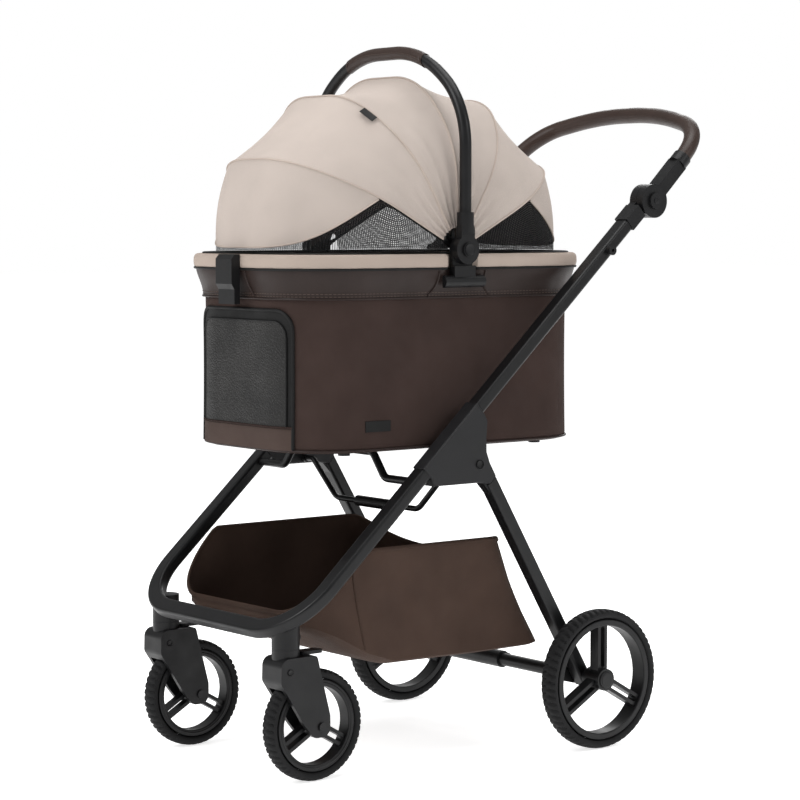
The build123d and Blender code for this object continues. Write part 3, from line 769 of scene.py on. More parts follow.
@dataclass
class Tub:
    """Stiffened fabric tub with a mesh door at the front.

    Attributes:
        sizes: Places read from the frame.
        wall: Thickness of the wall.
        belly: How far the sides bow in at mid height.
        door_half: Half width of the door.
        net_half: Half width of the door's mesh.
        sill: Height of the mesh's lower edge.
    """

    sizes: Sizes
    wall: float = 0.0035
    belly: float = 0.0015
    door_half: float = 0.117
    net_half: float = 0.106
    sill: float = 0.513

    def __post_init__(self) -> None:
        """Keeps the outline and the heights."""
        self.plan = self.sizes.body_plan()
        self.low, self.high = self.sizes.body_low.z, self.sizes.body_high.z

    def place(self, distance: float, z: float, out: float = 0.0) -> Vector:
        """Point on the tub's outer skin."""
        share = (z - self.low) / (self.high - self.low)
        return self.plan.point(distance, z, out - self.belly * math.sin(math.pi * share))

    def shell(self) -> bpy.types.Object:
        """Side wall, base and a flat skin over the mouth, which the merge fills in."""
        total = self.plan.perimeter()
        rows = [(-0.165, 0.0), (-0.1, 0.0), (-0.03, 0.0), (-0.008, 0.0002), (-0.0022, 0.0022), (0.0, 0.008)]
        rows += [(0.0, 0.008 + (self.high - self.low - 0.008) * k / 22) for k in range(1, 23)]

        def surface(around: float, up: float) -> Vector:
            out, rise = rows[round(up * (len(rows) - 1))]
            if out < -0.1:
                spine = self.plan.point(total * around, self.low, -0.1)
                return Vector((spine.x * 0.02, self.plan.centre + (spine.y - self.plan.centre) * 0.6,
                               self.low))
            if rise < 0.008:
                return self.plan.point(total * around, self.low + rise, out)
            return self.place(total * around, self.low + rise)

        obj = laid_grid("tub_shell", 192, len(rows) - 1, surface)
        merge(obj, outward=True)
        thickened(obj, self.wall)
        finished(obj, BROWN_CLOTH, (total, self.high - self.low))
        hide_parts("carrier_body")
        return obj

    def patch(self, name: str, half: float, low: float, high: float, corner: float, out: float,
              finish: Finish, depth: float = 0.0012) -> bpy.types.Object:
        """Sheet on the front of the tub with rounded upper corners.

        Args:
            name: Name of the piece.
            half: Half width along the outline.
            low: Lower edge.
            high: Upper edge.
            corner: Radius of the upper corners.
            out: Distance outside the tub's skin.
            finish: Its finish.
            depth: Its thickness.

        Returns:
            The sheet.
        """
        def surface(across: float, up: float) -> Vector:
            z = low + (high - low) * (1 - (1 - up) ** 1.6)
            over = max(z - (high - corner), 0.0)
            wide = half - corner + math.sqrt(max(corner * corner - over * over, 0.0))
            return self.place((2 * across - 1) * wide, z, out + depth)

        obj = laid_grid(name, 64, 30, surface)
        thickened(obj, depth)
        finished(obj, finish, (2 * half, high - low))
        return obj

    def door_line(self, half: float, low: float, high: float, corner: float, out: float) -> list[Vector]:
        """Line up one side, over the top and down the other side of the door."""
        flat = rounded_line([(half, low), (half, high), (-half, high), (-half, low)], [corner, corner], 0.006)
        return [self.place(x, z, out) for x, z in resampled(flat, 120)]

    def build(self) -> None:
        """Builds the tub, its door, bindings and blank label."""
        shell = self.shell()
        door = self.patch("door_panel", self.door_half, self.low + 0.004, 0.684, 0.03, 0.0, BLACK_TAPE)
        net = self.patch("door_net", self.net_half, self.sill, 0.668, 0.024, 0.0014, DOOR_NET)
        strip = self.patch("door_strip", 0.1155, self.low + 0.0045, 0.511, 0.001, 0.0013, STRIP_CLOTH)
        zip_ = cord_round("door_zip", self.door_line(0.1175, self.low + 0.006, 0.6845, 0.03, 0.0018), 0.0026)
        binding = cord_round("door_binding", self.door_line(0.1065, 0.514, 0.6685, 0.024, 0.0026), 0.0014)
        line = [self.place(x / 60 * self.door_half, self.sill, 0.003) for x in range(-60, 61)]
        sill = cord_round("door_sill", line, 0.0016)
        hem = cord_round("tub_base_piping", self.plan.ring(self.low + 0.004, 0.0006), 0.0017, ring=True)
        label = self.patch_label()
        for piece, finish in ((zip_, BLACK_TAPE), (binding, BLACK_TAPE), (sill, BROWN_CLOTH),
                              (hem, BROWN_LEATHER)):
            finished(piece, finish)
        for piece in (shell, door, net, strip, zip_, binding, sill, hem, label):
            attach(piece, "carrier")
        log.info("built the tub")

    def patch_label(self) -> bpy.types.Object:
        """Small blank woven label low on the left side."""
        def surface(across: float, up: float) -> Vector:
            return self.place(0.2516 + (across - 0.5) * 0.046, 0.5135 + (up - 0.5) * 0.016, 0.0012)

        obj = laid_grid("blank_label", 8, 4, surface)
        thickened(obj, 0.001)
        return finished(obj, BLACK_LABEL)


@dataclass
class Collar:
    """Faux leather band that flares out under the rim, with flap edges and twin stitching."""

    sizes: Sizes
    low: float = 0.7
    wall: float = 0.003

    def __post_init__(self) -> None:
        """Keeps the outline and the upper edge."""
        self.plan = self.sizes.body_plan()
        self.high = self.sizes.rim_low.z - 0.0004

    def flare(self, z: float) -> float:
        """How far the band stands outside the tub at a height."""
        share = min(max((z - self.low) / (self.high - self.low), 0.0), 1.0)
        return 0.0032 + 0.0102 * smooth_step(share) - 0.0015 * math.sin(math.pi * share)

    def place(self, distance: float, z: float, out: float = 0.0) -> Vector:
        """Point on the band's outer face, kept in beside the handle brackets."""
        point = self.plan.point(distance, z, self.flare(z) + out)
        near = 1.0 - smooth_step((abs(point.y - self.plan.centre) - 0.022) / 0.012)
        if z > 0.722 and abs(point.x) > self.plan.half * 0.9:
            limit = self.plan.half + 0.0042
            inside = limit + (abs(point.x) - limit) * (1.0 - near) if abs(point.x) > limit else abs(point.x)
            point.x = math.copysign(inside, point.x)
        return point

    def band(self) -> bpy.types.Object:
        """The band itself."""
        total = self.plan.perimeter()

        def surface(around: float, up: float) -> Vector:
            return self.place(total * around, self.low + (self.high - self.low) * up)

        obj = laid_grid("collar_band", 240, 14, surface, close=True)
        thickened(obj, self.wall)
        finished(obj, BROWN_LEATHER)
        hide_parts("carrier_collar")
        return obj

    def flap_line(self, start: float, reach: float, out: float = 0.0) -> list[Vector]:
        """Edge of a flap: down from the rim and curving out to the lower seam."""
        line = []
        for step in range(25):
            share = step / 24
            z = self.high - 0.002 - (self.high - self.low - 0.006) * share
            line.append(self.place(start + reach * share ** 3.2, z, 0.0006 + out))
        return line

    def build(self) -> None:
        """Builds the band, its seams and the flap edges."""
        band = self.band()
        pieces = [band]
        total = self.plan.perimeter()
        for index, z in enumerate((0.7045, 0.7085)):
            line = [self.place(total * k / 400, z, 0.0002) for k in range(401)]
            seam = stitches(f"collar_stitching_{index}", line, 0.0042, 0.0022, 0.0005)
            pieces.append(finished(seam, BROWN_THREAD))
        hub = total / 4
        edges = [("front_left", 0.03, -0.012), ("front_right", -0.03, 0.012),
                 ("side_a_left", hub - 0.044, 0.016),
                 ("side_b_left", hub + 0.044, -0.016), ("side_a_right", -hub + 0.044, -0.016),
                 ("side_b_right", -hub - 0.044, 0.016)]
        for name, start, reach in edges:
            edge = cord_round(f"flap_edge_{name}", self.flap_line(start, -reach), 0.0016)
            pieces.append(finished(edge, BROWN_LEATHER))
        hem = cord_round("collar_hem",
                         [self.place(total * k / 300, self.low + 0.0012, 0.0) for k in range(300)],
                         0.0016, ring=True)
        pieces.append(finished(hem, BROWN_LEATHER))
        for piece in pieces:
            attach(piece, "carrier")
        log.info("built the collar")


@dataclass
class Rim:
    """Padded beige roll round the mouth, with piping under it and a zip on top."""

    sizes: Sizes
    width: float = 0.02

    def __post_init__(self) -> None:
        """Keeps the outline and the heights."""
        self.plan = self.sizes.rim_plan()
        self.low, self.high = self.sizes.rim_low.z, self.sizes.rim_high.z

    def width_at(self, point: Vector) -> float:
        """Width of the roll, thin where a handle bracket crosses it."""
        away = abs(point.y - self.plan.centre)
        open_ = smooth_step((away - 0.0215) / 0.009) if abs(point.x) > 0.15 else 1.0
        return 0.0066 + (self.width - 0.0066) * open_

    def surface(self, around: float, round_: float) -> Vector:
        """Point on the roll's skin."""
        total = self.plan.perimeter()
        width = self.width_at(self.plan.point(total * around, 0.0))
        angle = -math.tau * round_
        wide = math.copysign(abs(math.cos(angle)) ** 0.72, math.cos(angle))
        tall = math.copysign(abs(math.sin(angle)) ** 0.72, math.sin(angle))
        pucker = 0.00035 * math.sin(around * 210.0) * abs(wide)
        out = -self.width + width / 2 * (1 + wide) + pucker
        z = (self.low + self.high) / 2 + (self.high - self.low) / 2 * tall
        return self.plan.point(total * around, z, out)

    def build(self) -> None:
        """Builds the roll and its trim."""
        obj = laid_grid("rim_roll", 360, 20, self.surface)
        merge(obj, outward=True)
        finished(obj, RIM_CLOTH, (self.plan.perimeter(), 0.075))
        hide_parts("carrier_rim")
        total = self.plan.perimeter()
        inner = [self.plan.point(total * k / 240, self.high + 0.001, -0.0165) for k in range(240)]
        tape = cord_round("rim_zip_tape", inner, 0.0032, ring=True, squash=0.5)
        finished(tape, BLACK_TAPE)
        under = []
        for step in range(360):
            point = self.plan.point(total * step / 360, self.low + 0.0012, 0.0)
            under.append(self.plan.point(total * step / 360, self.low + 0.0012,
                                         self.width_at(point) - self.width - 0.0022))
        piping = cord_round("rim_piping", under, 0.0019, ring=True)
        finished(piping, BLACK_TAPE)
        for piece in (obj, tape, piping):
            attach(piece, "carrier")
        log.info("built the rim")


@dataclass
class Pad:
    """Plush cushion on the base of the tub."""

    sizes: Sizes
    swell: float = 0.009
    voxel: float = 0.006
    pressure: float = 4.0
    frames: int = 15

    def build(self) -> None:
        """Builds the cushion by inflating a slightly smaller block."""
        low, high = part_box("carrier_pad")
        plan = Plan(self.sizes.hub.y, high.x - 0.004, (high.y - low.y) / 2 - 0.004, 0.09)
        rows = [(-0.13, 0.0), (-0.06, 0.0), (-0.004, 0.0), (0.0, 0.004), (0.0, 0.012), (-0.004, 0.016),
                (-0.06, 0.016), (-0.13, 0.016)]

        def surface(around: float, up: float) -> Vector:
            out, rise = rows[round(up * (len(rows) - 1))]
            point = plan.point(plan.perimeter() * around, low.z + 0.001 + rise, max(out, -0.088))
            if out < -0.1:
                point = Vector((point.x * 0.5, plan.centre + (point.y - plan.centre) * 0.8, point.z))
            return point

        obj = laid_grid("carrier_cushion", 120, len(rows) - 1, surface)
        merge(obj, outward=True)
        self.inflate(obj, low.z)
        finished(obj, GREY_PLUSH)
        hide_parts("carrier_pad")
        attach(obj, "carrier")
        log.info("built the cushion")

    def inflate(self, obj: bpy.types.Object, floor: float) -> None:
        """Swells the block with a short cloth simulation, and keeps each point near its start."""
        modified(obj, "REMESH", mode="VOXEL", voxel_size=self.voxel)
        before = [vertex.co.copy() for vertex in obj.data.vertices]
        cloth = obj.modifiers.new("Cloth", "CLOTH")
        cloth.settings.use_pressure = True
        cloth.settings.uniform_pressure_force = self.pressure
        cloth.settings.effector_weights.gravity = 0.0
        for frame in range(1, self.frames + 1):
            bpy.context.scene.frame_set(frame)
        take(obj)
        bpy.ops.object.modifier_apply(modifier=cloth.name)
        for vertex, start in zip(obj.data.vertices, before):
            moved = vertex.co - start
            if moved.length > self.swell:
                vertex.co = start + moved.normalized() * self.swell
            vertex.co.z = max(vertex.co.z, floor)
        bpy.context.scene.frame_set(1)


# ---------------------------------------------------------------- canopy


@dataclass(frozen=True)
class Hoop:
    """One hoop of the canopy.

    Attributes:
        body: Body that it rides on.
        angle: Angle above the rear, in degrees.
        radius: Height of its crown from the hub.
    """

    body: str
    angle: float
    radius: float


@dataclass
class Canopy:
    """Fabric cover over five hoops, with a panel and mesh windows at each end."""

    sizes: Sizes
    half: float = 0.1752
    start: float = 0.034
    cloth: float = 0.0011
    columns: int = 120
    edge: float = 0.64
    foot_radius: float = 0.2775
    panel_depth: float = 0.17
    hoops: dict[str, Hoop] = field(default_factory=lambda: {
        "rear_end": Hoop("canopy_rear_end", 28.0, 0.2872),
        "rear_mid": Hoop("canopy_rear_mid", 60.0, 0.2665),
        "centre": Hoop("carrier", 92.0, 0.2625),
        "front_mid": Hoop("canopy_front_mid", 120.0, 0.2665),
        "front_end": Hoop("canopy_front_end", 152.0, 0.2872),
    })

    def arch(self, radius: float, half: float, count: int) -> list[Vector]:
        """Points of a hoop's squarish arch, as across and out from the hub."""
        corners = [(half, self.start), (half, 0.62 * radius), (0.5 * half, radius), (-0.5 * half, radius),
                   (-half, 0.62 * radius), (-half, self.start)]
        bends = [0.6 * radius, 0.5 * radius, 0.5 * radius, 0.6 * radius]
        return resampled(rounded_line(corners, bends, 0.008), count)

    def lifted(self, flat: Vector, angle: float) -> Vector:
        """A point of an arch, turned to its angle about the hubs."""
        turn = math.radians(angle)
        return Vector((flat.x, self.sizes.hub.y + flat.y * math.cos(turn),
                       self.sizes.hub.z + flat.y * math.sin(turn)))

    def hoop_line(self, hoop: Hoop, out: float = 0.0, count: int = 0) -> list[Vector]:
        """Line of the fabric over a hoop."""
        return [self.lifted(flat, hoop.angle)
                for flat in self.arch(hoop.radius + out, self.half + out, count or self.columns)]

    def panel(self, name: str, first: Hoop, second: Hoop, sag: float, lean: float) -> bpy.types.Object:
        """Fabric between two hoops, pulled in between them and creased near the hubs.

        Args:
            name: Name of the piece.
            first: Hoop where it starts.
            second: Hoop where it ends.
            sag: How far it dips between the hoops.
            lean: Where the dip is deepest: below 1 near the first hoop, above 1 near the second.

        Returns:
            The panel.
        """
        start, end = self.hoop_line(first), self.hoop_line(second)
        centre = Vector((0.0, self.sizes.hub.y, self.sizes.hub.z))

        def surface(along: float, over: float) -> Vector:
            index = round(along * self.columns)
            point = start[index].lerp(end[index], over)
            rise = math.sin(math.pi * along)
            dip = sag * math.sin(math.pi * over ** lean) * (0.35 + 0.65 * rise)
            side = 1.0 - smooth_step(min(along, 1.0 - along) / 0.36)
            crease = 0.0022 * side * math.sin(3.0 * math.tau * over) * math.sin(math.pi * over)
            inward = (centre + Vector((point.x * 0.55, 0.0, 0.03)) - point).normalized()
            return point + inward * (dip + crease)

        obj = laid_grid(name, self.columns, 24, surface)
        width = sum((b - a).length for a, b in zip(start, start[1:]))
        depth = max((b - a).length for a, b in zip(start, end))
        return self.as_sheet(obj, width, depth * 1.02, BEIGE_CLOTH)

    def as_sheet(self, obj: bpy.types.Object, width: float, depth: float, finish: Finish) -> bpy.types.Object:
        middle = obj.data.polygons[len(obj.data.polygons) // 2]
        if middle.normal.dot(middle.center - self.sizes.hub) < 0:
            obj.data.flip_normals()
        thickened(obj, self.cloth)
        finished(obj, finish, (width, depth), angle=60)
        return obj

    def foot(self, front: bool) -> list[Vector]:
        """Line where the cover meets the rim, from the left hub round to the right one."""
        sign = -1.0 if front else 1.0
        flat = self.arch(self.foot_radius, self.half - 0.001, self.columns)
        return [Vector((p.x, self.sizes.hub.y + sign * p.y, self.sizes.rim_high.z + 0.0035)) for p in flat]

    def split(self, along: float) -> float:
        """Share of the way down at which cloth gives way to mesh, at a place along the hoop."""
        way = abs(2 * along - 1)
        return 0.955 * (1.0 - (way / self.edge) ** 4) if way < self.edge else 0.0

    def end_surface(self, hoop: Hoop, front: bool) -> Surface:
        """The face between an end hoop and the rim."""
        top, foot = self.hoop_line(hoop), self.foot(front)

        def surface(along: float, down: float) -> Vector:
            index = min(round(along * self.columns), self.columns)
            point = top[index].lerp(foot[index], down)
            bulge = 0.010 * math.sin(math.pi * down) * math.sin(math.pi * along) ** 2
            out = Vector((0.0, -1.0 if front else 1.0, 0.35)).normalized()
            return point + out * bulge

        return surface

    def end_panel(self, side: str, hoop: Hoop, front: bool) -> list[bpy.types.Object]:
        """Cloth panel, mesh window and edge piping at one end, with dark edge bands at the front."""
        face = self.end_surface(hoop, front)
        reach = 0.5 * self.edge
        low, high = 0.5 - reach, 0.5 + reach
        first, last = math.ceil(low * self.columns), math.floor(high * self.columns)
        count = last - first

        def cloth(across: float, down: float) -> Vector:
            along = (first + round(across * count)) / self.columns
            return face(along, down * self.split(along))

        def mesh(across: float, down: float) -> Vector:
            cut = self.split(across)
            return face(across, cut + (1.0 - cut) * down)

        foot = self.foot(front)
        width = sum((b - a).length for a, b in zip(foot, foot[1:]))
        panel = laid_grid(f"canopy_{side}_panel", count, 20, cloth)
        panel = self.as_sheet(panel, width * 0.8, self.panel_depth, BEIGE_CLOTH)
        window = laid_grid(f"canopy_{side}_window", self.columns, 14, mesh)
        drops = [mesh(k / self.columns, 1.0) - mesh(k / self.columns, 0.0) for k in range(self.columns)]
        drop = max(step.length for step in drops)
        # The rear windows take the darker net copy, a painted shade.
        window = self.as_sheet(window, width, drop, BLACK_NET if front else SHADED_REAR_NET)
        edge = [face((first + k) / self.columns, self.split((first + k) / self.columns))
                for k in range(count + 1)]
        lip = cord_round(f"canopy_{side}_lip", edge, 0.0014)
        finished(lip, BEIGE_PIPING)
        pieces = [panel, window, lip]
        if front:
            pieces += self.blinds(face, first, count)
        return pieces

    def blinds(self, face: Surface, first: int, count: int) -> list[bpy.types.Object]:
        """Dark bands rolled up inside the front windows, along the cloth's edge."""
        def band(across: float, down: float, low: float, high: float) -> Vector:
            along = low + (high - low) * across
            cut = self.split(along)
            point = face(round(along * self.columns) / self.columns, min(cut + 0.09 * down, 1.0))
            return point + Vector((-math.copysign(0.003, point.x), 0.002, 0.0))

        edge = 0.5 * self.edge
        made = []
        for name, low, high in (("left", 0.5 - edge - 0.03, 0.31), ("right", 0.69, 0.5 + edge + 0.03)):
            obj = laid_grid(f"window_blind_{name}", 24, 6, lambda a, d, l=low, h=high: band(a, d, l, h))
            thickened(obj, 0.0012)
            made.append(finished(obj, BROWN_LEATHER))
        return made

    def build(self) -> None:
        """Builds the whole cover."""
        hoops = self.hoops
        gores = [("canopy_gore_front_upper", "centre", "front_mid", 0.011, 0.72),
                 ("canopy_gore_front_lower", "front_mid", "front_end", 0.006, 1.0),
                 ("canopy_gore_rear_upper", "centre", "rear_mid", 0.007, 1.0),
                 ("canopy_gore_rear_lower", "rear_mid", "rear_end", 0.006, 1.0)]
        for name, first, second, sag, lean in gores:
            a, b = hoops[first], hoops[second]
            gore = self.panel(name, a, b, sag, lean)
            middle = 0.14
            ends = [self.lifted(Vector((0.0, middle)), hoop.angle) for hoop in (a, b)]
            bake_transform(gore)
        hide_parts("canopy_front")
        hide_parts("canopy_rear")
        for side, key in (("front", "front_end"), ("rear", "rear_end")):
            pieces = self.end_panel(side, hoops[key], side == "front")
            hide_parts(f"visor_{side}")
            for piece in pieces:
                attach(piece, hoops[key].body)
        for name, hoop in hoops.items():
            piping = cord_round(f"canopy_piping_{name}", self.hoop_line(hoop, 0.0002), 0.0016)
            finished(piping, BEIGE_PIPING)
            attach(piping, hoop.body)
        self.tag()
        log.info("built the canopy")

    def tag(self) -> None:
        """Small blank tag sewn in beside the front middle hoop."""
        line = self.hoop_line(self.hoops["front_mid"], 0.0012)
        index = round(self.columns * 0.305)
        start, end = line[index], line[index + 3]
        along = (end - start).normalized()
        middle = (start + end) / 2
        outward = (middle - self.sizes.hub).normalized()
        across = along.cross(outward).normalized()
        across = across if across.y < 0 else -across

        def surface(u: float, v: float) -> Vector:
            return middle + along * (u - 0.5) * 0.026 + across * (0.002 + 0.011 * v) + outward * 0.0012

        obj = laid_grid("canopy_tag", 6, 3, surface)
        thickened(obj, 0.001)
        finished(obj, BLACK_LABEL)
        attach(obj, "canopy_front_mid")


# ---------------------------------------------------------------- basket


@dataclass
class Basket:
    """Fabric sling between the side tubes, open at the top."""

    columns: int = 160
    cloth: float = 0.0022

    def __post_init__(self) -> None:
        """Reads the box of the CAD basket."""
        self.low, self.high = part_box("basket")
        self.front, self.rear = self.low.y, self.high.y
        self.half = self.high.x

    def top(self, y: float) -> float:
        """Height of the upper edge at a distance along the sling."""
        way = y - self.front
        side = min(self.high.z, self.low.z + 0.091 + way * 1.034)
        return side

    def bottom(self, y: float) -> float:
        """Height of the floor at a distance along the sling."""
        way = (y - self.front) * 1000.0
        marks = [(0.0, 74.0), (55.0, 49.0), (108.0, 20.0), (160.0, 2.0), (330.0, 0.0), (447.0, 1.0),
                 (470.0, 12.0)]
        for (x0, z0), (x1, z1) in zip(marks, marks[1:]):
            if way <= x1:
                return self.low.z + (z0 + (z1 - z0) * max(way - x0, 0.0) / (x1 - x0)) / 1000.0
        return self.low.z + marks[-1][1] / 1000.0

    def rims(self) -> tuple[Plan, Plan]:
        """Outlines of the floor and of the upper edge."""
        floor_rear = self.rear - 0.008
        floor = Plan((self.front + 0.004 + floor_rear) / 2, self.half - 0.003,
                     (floor_rear - self.front - 0.004) / 2, 0.075, 0.028)
        top_rear = self.rear - 0.091
        top = Plan((self.front + top_rear) / 2, self.half - 0.0005, (top_rear - self.front) / 2, 0.078, 0.03)
        return floor, top

    def surface(self, around: float, up: float) -> Vector:
        """Point on the sling's outer skin."""
        floor, top = self.rims()
        base = floor.point(floor.perimeter() * around, 0.0)
        base.z = self.bottom(base.y)
        edge = top.point(top.perimeter() * around, 0.0)
        edge.z = self.top(edge.y)
        rear = smooth_step((edge.y - (top.centre + top.length) + 0.02) / 0.02)
        edge.z -= 0.034 * rear * (1.0 - (edge.x / self.half) ** 2)
        if up <= 0.4:
            share = (up / 0.4) ** 0.7
            lift = 0.010 * share ** 9
            return Vector((base.x * share * 0.985, base.y, base.z + lift))
        share = (up - 0.4) / 0.6
        start = Vector((base.x * 0.985, base.y, base.z + 0.010))
        point = start.lerp(edge, share)
        inward = Vector((0, 0, 0))
        if abs(point.x) > self.half * 0.7:
            inward = Vector((-point.x, 0.0, 0.0)).normalized()
        wave = 0.004 * math.sin(math.pi * share) * (1.0 + 0.35 * math.sin(point.y * 55.0))
        return point + inward * wave

    def build(self) -> None:
        """Builds the sling, its hems and seams."""
        obj = laid_grid("basket_sling", self.columns, 30, self.surface)
        merge(obj)
        floor, top = self.rims()
        thickened(obj, self.cloth)
        finished(obj, BASKET_CLOTH, (top.perimeter(), 0.36), angle=60)
        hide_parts("basket")
        pieces = [obj]
        line = [self.surface(k / self.columns, 1.0) for k in range(self.columns)]
        hem = cord_round("basket_hem", line, 0.0026, ring=True, squash=1.4)
        pieces.append(finished(hem, BASKET_CLOTH))
        for name, around in (("left", 0.165), ("right", 0.835), ("rear_left", 0.415), ("rear_right", 0.585)):
            seam = cord_round(f"basket_seam_{name}",
                              [self.surface(around, 0.42 + 0.57 * k / 30) for k in range(31)], 0.0016)
            pieces.append(finished(seam, BASKET_CLOTH))
        for piece in pieces:
            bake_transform(piece)
        log.info("built the basket")


# ---------------------------------------------------------------- grips and small hardware


@dataclass
class Grips:
    """Leather sleeves with their stitched seams."""

    handle_bends: tuple[float, ...] = (0.085, 0.38, 0.38, 0.085)

    def handle(self) -> None:
        """Seam along the inside of the push handle's grip."""
        hinge_low, hinge_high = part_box("hinge_button_left")
        hinge = (hinge_low + hinge_high) / 2
        corners = [(0.207, 0.1045), (0.207, 0.164), (0.07, 0.208), (-0.07, 0.208), (-0.207, 0.164),
                   (-0.207, 0.1045)]
        turn = math.radians(43.8)
        line = []
        for x, q in resampled(rounded_line(corners, list(self.handle_bends), 0.005), 220):
            y, z = hinge.y + q * math.cos(turn), hinge.z + q * math.sin(turn)
            line.append(Vector((x, y + 0.01315 * math.sin(turn), z - 0.01315 * math.cos(turn))))
        seam = stitches("push_grip_stitching", line)
        finished(seam, BROWN_THREAD)
        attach(seam, "push_handle")

    def carry(self) -> None:
        """Seam and end stitching on the carry handle's grip."""
        low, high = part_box("carry_grip")
        middle = (low + high) / 2
        corners = [(0.1905, 0.026), (0.1905, 0.219), (0.084, 0.3), (-0.084, 0.3), (-0.1905, 0.219),
                   (-0.1905, 0.026)]
        arch = resampled(rounded_line(corners, [0.13, 0.185, 0.185, 0.13], 0.004), 500)
        base = high.z - 0.3102
        top = [p for p in arch if abs(p.x) < 0.093]
        line = [Vector((p.x, low.y - 0.0001, base + p.y)) for p in top]
        seam = stitches("carry_grip_stitching", line, 0.003, 0.0015)
        finished(seam, BROWN_THREAD)
        rings = []
        for sign in (-1.0, 1.0):
            p = min(arch, key=lambda q: abs(q.x - sign * 0.091))
            lean = math.atan2(-sign * 0.081, 0.1065) * 0.9
            points = []
            for k in range(32):
                a = math.tau * k / 32
                side = Vector((math.sin(lean) * math.cos(a) * 0.0104, math.sin(a) * 0.0104,
                               math.cos(lean) * math.cos(a) * 0.0104))
                points.append(Vector((p.x, middle.y, base + p.y)) + side)
            rings.append(finished(cord_round(f"carry_grip_ring_{'left' if sign > 0 else 'right'}", points,
                                             0.0012, ring=True), GRIP_LEATHER))
        for piece in (seam, *rings):
            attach(piece, "carry_handle")

    def build(self, nodes: dict[str, bpy.types.Object]) -> None:
        """Dresses both grips and adds their seams."""
        for name in ("push_handle_grip", "carry_grip"):
            nodes[name].data.materials.clear()
            nodes[name].data.materials.append(GRIP_LEATHER.material())
        self.handle()
        self.carry()
        log.info("built the grips")


@dataclass
class Hardware:
    """Screw heads, hub discs and caps on the moulded pieces."""

    def disc(self, name: str, centre: Vector, axis: str, radius: float, depth: float, body: str,
             dish: float = 0.0) -> None:
        """Adds a turned disc with a bevelled edge and a dished face.

        Args:
            name: Name of the piece.
            centre: Its middle.
            axis: x or z, the way it faces.
            radius: Its radius.
            depth: Its thickness.
            body: Body that it rides on.
            dish: Radius of the sunk middle, or 0.
        """
        turn = {"x": (0, math.pi / 2, 0), "z": (0, 0, 0)}[axis]
        clear_selection()
        bpy.ops.mesh.primitive_cylinder_add(vertices=48, radius=radius, depth=depth, location=centre,
                                            rotation=turn)
        obj = joined(name, [bpy.context.object])
        if dish:
            take(obj)
            bpy.ops.object.mode_set(mode="EDIT")
            bpy.ops.mesh.select_all(action="DESELECT")
            bpy.ops.object.mode_set(mode="OBJECT")
            for face in obj.data.polygons:
                face.select = len(face.vertices) > 8
            bpy.ops.object.mode_set(mode="EDIT")
            bpy.ops.mesh.inset(thickness=radius - dish, use_individual=True)
            bpy.ops.transform.shrink_fatten(value=-depth * 0.25)
            bpy.ops.object.mode_set(mode="OBJECT")
        modified(obj, "BEVEL", width=min(depth, radius) * 0.18, segments=3, limit_method="ANGLE")
        finished(obj, NYLON_BLACK, angle=30)
        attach(obj, body)

    def build(self) -> None:
        """Adds the discs and screws on both sides."""
        hub_low, hub_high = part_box("rim_brackets")
        centre = (hub_low + hub_high) / 2
        for name, sign in SIDES.items():
            face = hub_high.x * sign
            self.disc(f"hub_cap_{name}", Vector((face, centre.y, 0.772)), "x", 0.0085, 0.0022, "carrier",
                      0.0065)
            low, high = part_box(f"hinge_button_{name}")
            middle = (low + high) / 2
            outer = high.x if sign > 0 else low.x
            self.disc(f"hinge_dot_{name}", Vector((outer, middle.y, middle.z)), "x", 0.005, 0.0016,
                      f"hinge_button_{name}")
            low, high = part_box(f"caster_fork_{name}")
            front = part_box(f"front_tyre_{name}")
            axle_y = (front[0].y + front[1].y) / 2
            for side, x in (("out", high.x), ("in", low.x)):
                self.disc(f"fork_screw_{name}_{side}", Vector((x, axle_y - 0.056, 0.168)), "x", 0.0042,
                          0.0016, f"caster_{name}", 0.0022)
            gusset_low, gusset_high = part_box(f"gusset_{name}")
            pin_low, pin_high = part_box("leg_pivot_pins")
            outer = gusset_high.x if sign > 0 else gusset_low.x
            self.disc(f"gusset_screw_{name}", Vector((outer, (pin_low.y + pin_high.y) / 2, 0.452)), "x",
                      0.0058, 0.0012, "chassis", 0.003)
        log.info("built the small hardware")


# ---------------------------------------------------------------- room and camera


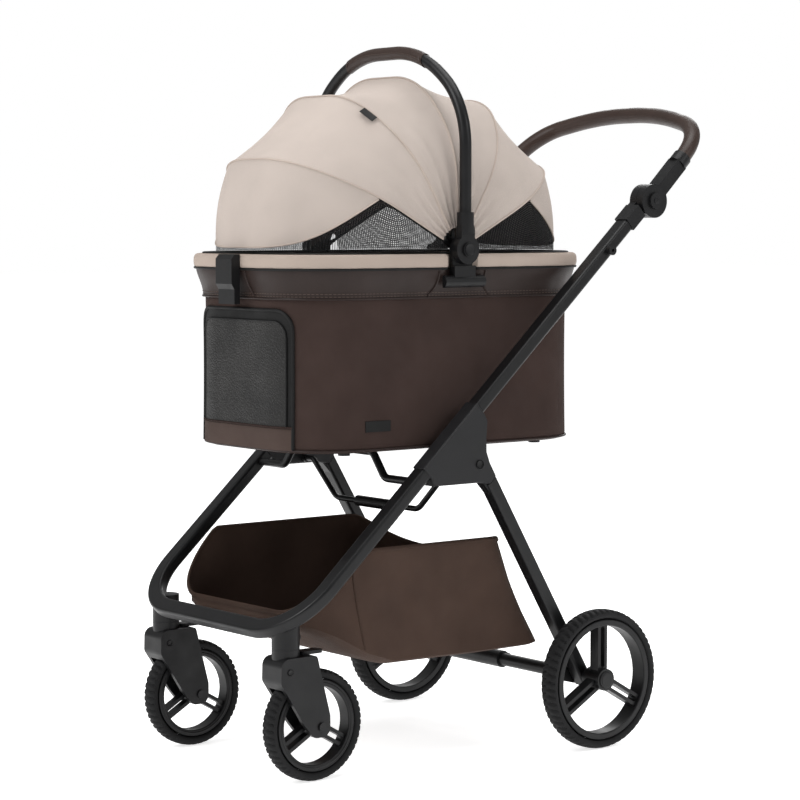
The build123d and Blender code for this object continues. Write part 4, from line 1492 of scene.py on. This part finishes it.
@dataclass
class Studio:
    """Pale floor, soft lights and the camera."""

    camera_place: Vector = field(default_factory=lambda: Vector((3.0847, -2.4598, 0.8167)))
    azimuth: float = 52.17
    pitch: float = -4.125
    lens: float = 112.5

    def floor(self) -> None:
        """Large pale floor under the wheels."""
        clear_selection()
        bpy.ops.mesh.primitive_plane_add(size=60.0, location=(0, 0, 0))
        floor = bpy.context.object
        floor.name = "floor"
        material = bpy.data.materials.new("pale_floor")
        material.use_nodes = True
        shader = material.node_tree.nodes["Principled BSDF"]
        shader.inputs["Base Color"].default_value = (0.9, 0.9, 0.9, 1.0)
        shader.inputs["Roughness"].default_value = 1.0
        shader.inputs["Specular IOR Level"].default_value = 0.0
        shader.inputs["Emission Color"].default_value = (1.0, 1.0, 1.0, 1.0)
        shader.inputs["Emission Strength"].default_value = 0.72
        floor.data.materials.append(material)

    def light(self, name: str, place: tuple[float, float, float], size: float, power: float) -> None:
        """Adds a square soft light that faces the stroller."""
        data = bpy.data.lights.new(name, "AREA")
        data.size = size
        data.energy = power
        lamp = bpy.data.objects.new(name, data)
        bpy.context.scene.collection.objects.link(lamp)
        lamp.location = place
        aim = Vector((0.0, 0.0, 0.55)) - Vector(place)
        lamp.rotation_mode = "QUATERNION"
        lamp.rotation_quaternion = aim.to_track_quat("-Z", "Y")

    def camera(self) -> None:
        """Camera at the viewing angle."""
        data = bpy.data.cameras.new("camera")
        data.lens = self.lens
        data.sensor_width = 36.0
        camera = bpy.data.objects.new("camera", data)
        bpy.context.scene.collection.objects.link(camera)
        camera.location = self.camera_place
        camera.rotation_mode = "XYZ"
        camera.rotation_euler = (math.radians(90.0 + self.pitch), 0.0, math.radians(self.azimuth))
        bpy.context.scene.camera = camera

    def build(self) -> None:
        """Builds floor, world, lights and camera."""
        self.floor()
        world = bpy.data.worlds.new("studio")
        world.use_nodes = True
        tree = world.node_tree
        background = tree.nodes["Background"]
        background.inputs[0].default_value = (1.0, 1.0, 1.0, 1.0)
        path = tree.nodes.new("ShaderNodeLightPath")
        level = tree.nodes.new("ShaderNodeMapRange")
        level.inputs[3].default_value = 0.36
        level.inputs[4].default_value = 1.0
        tree.links.new(path.outputs["Is Camera Ray"], level.inputs[0])
        tree.links.new(level.outputs[0], background.inputs[1])
        bpy.context.scene.world = world
        bpy.context.scene.view_settings.view_transform = "Standard"
        self.light("key", (-0.4, -3.4, 3.0), 2.0, 88.0)
        self.light("top", (0.4, 0.2, 3.8), 2.6, 85.0)
        self.light("side", (3.6, 1.4, 2.4), 1.6, 28.0)
        self.light("back", (-2.4, 2.8, 2.4), 2.0, 40.0)
        self.camera()


def main() -> None:
    """Builds the stroller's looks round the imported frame."""
    logging.basicConfig(level=logging.INFO)
    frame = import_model()
    sizes = Sizes()
    FrameDress().dress(frame["nodes"])
    Wheels().build()
    Tub(sizes).build()
    Collar(sizes).build()
    Rim(sizes).build()
    Pad(sizes).build()
    Canopy(sizes).build()
    Basket().build()
    Grips().build(frame["nodes"])
    Hardware().build()
    Studio().build()


if __name__ == "__main__":
    main()
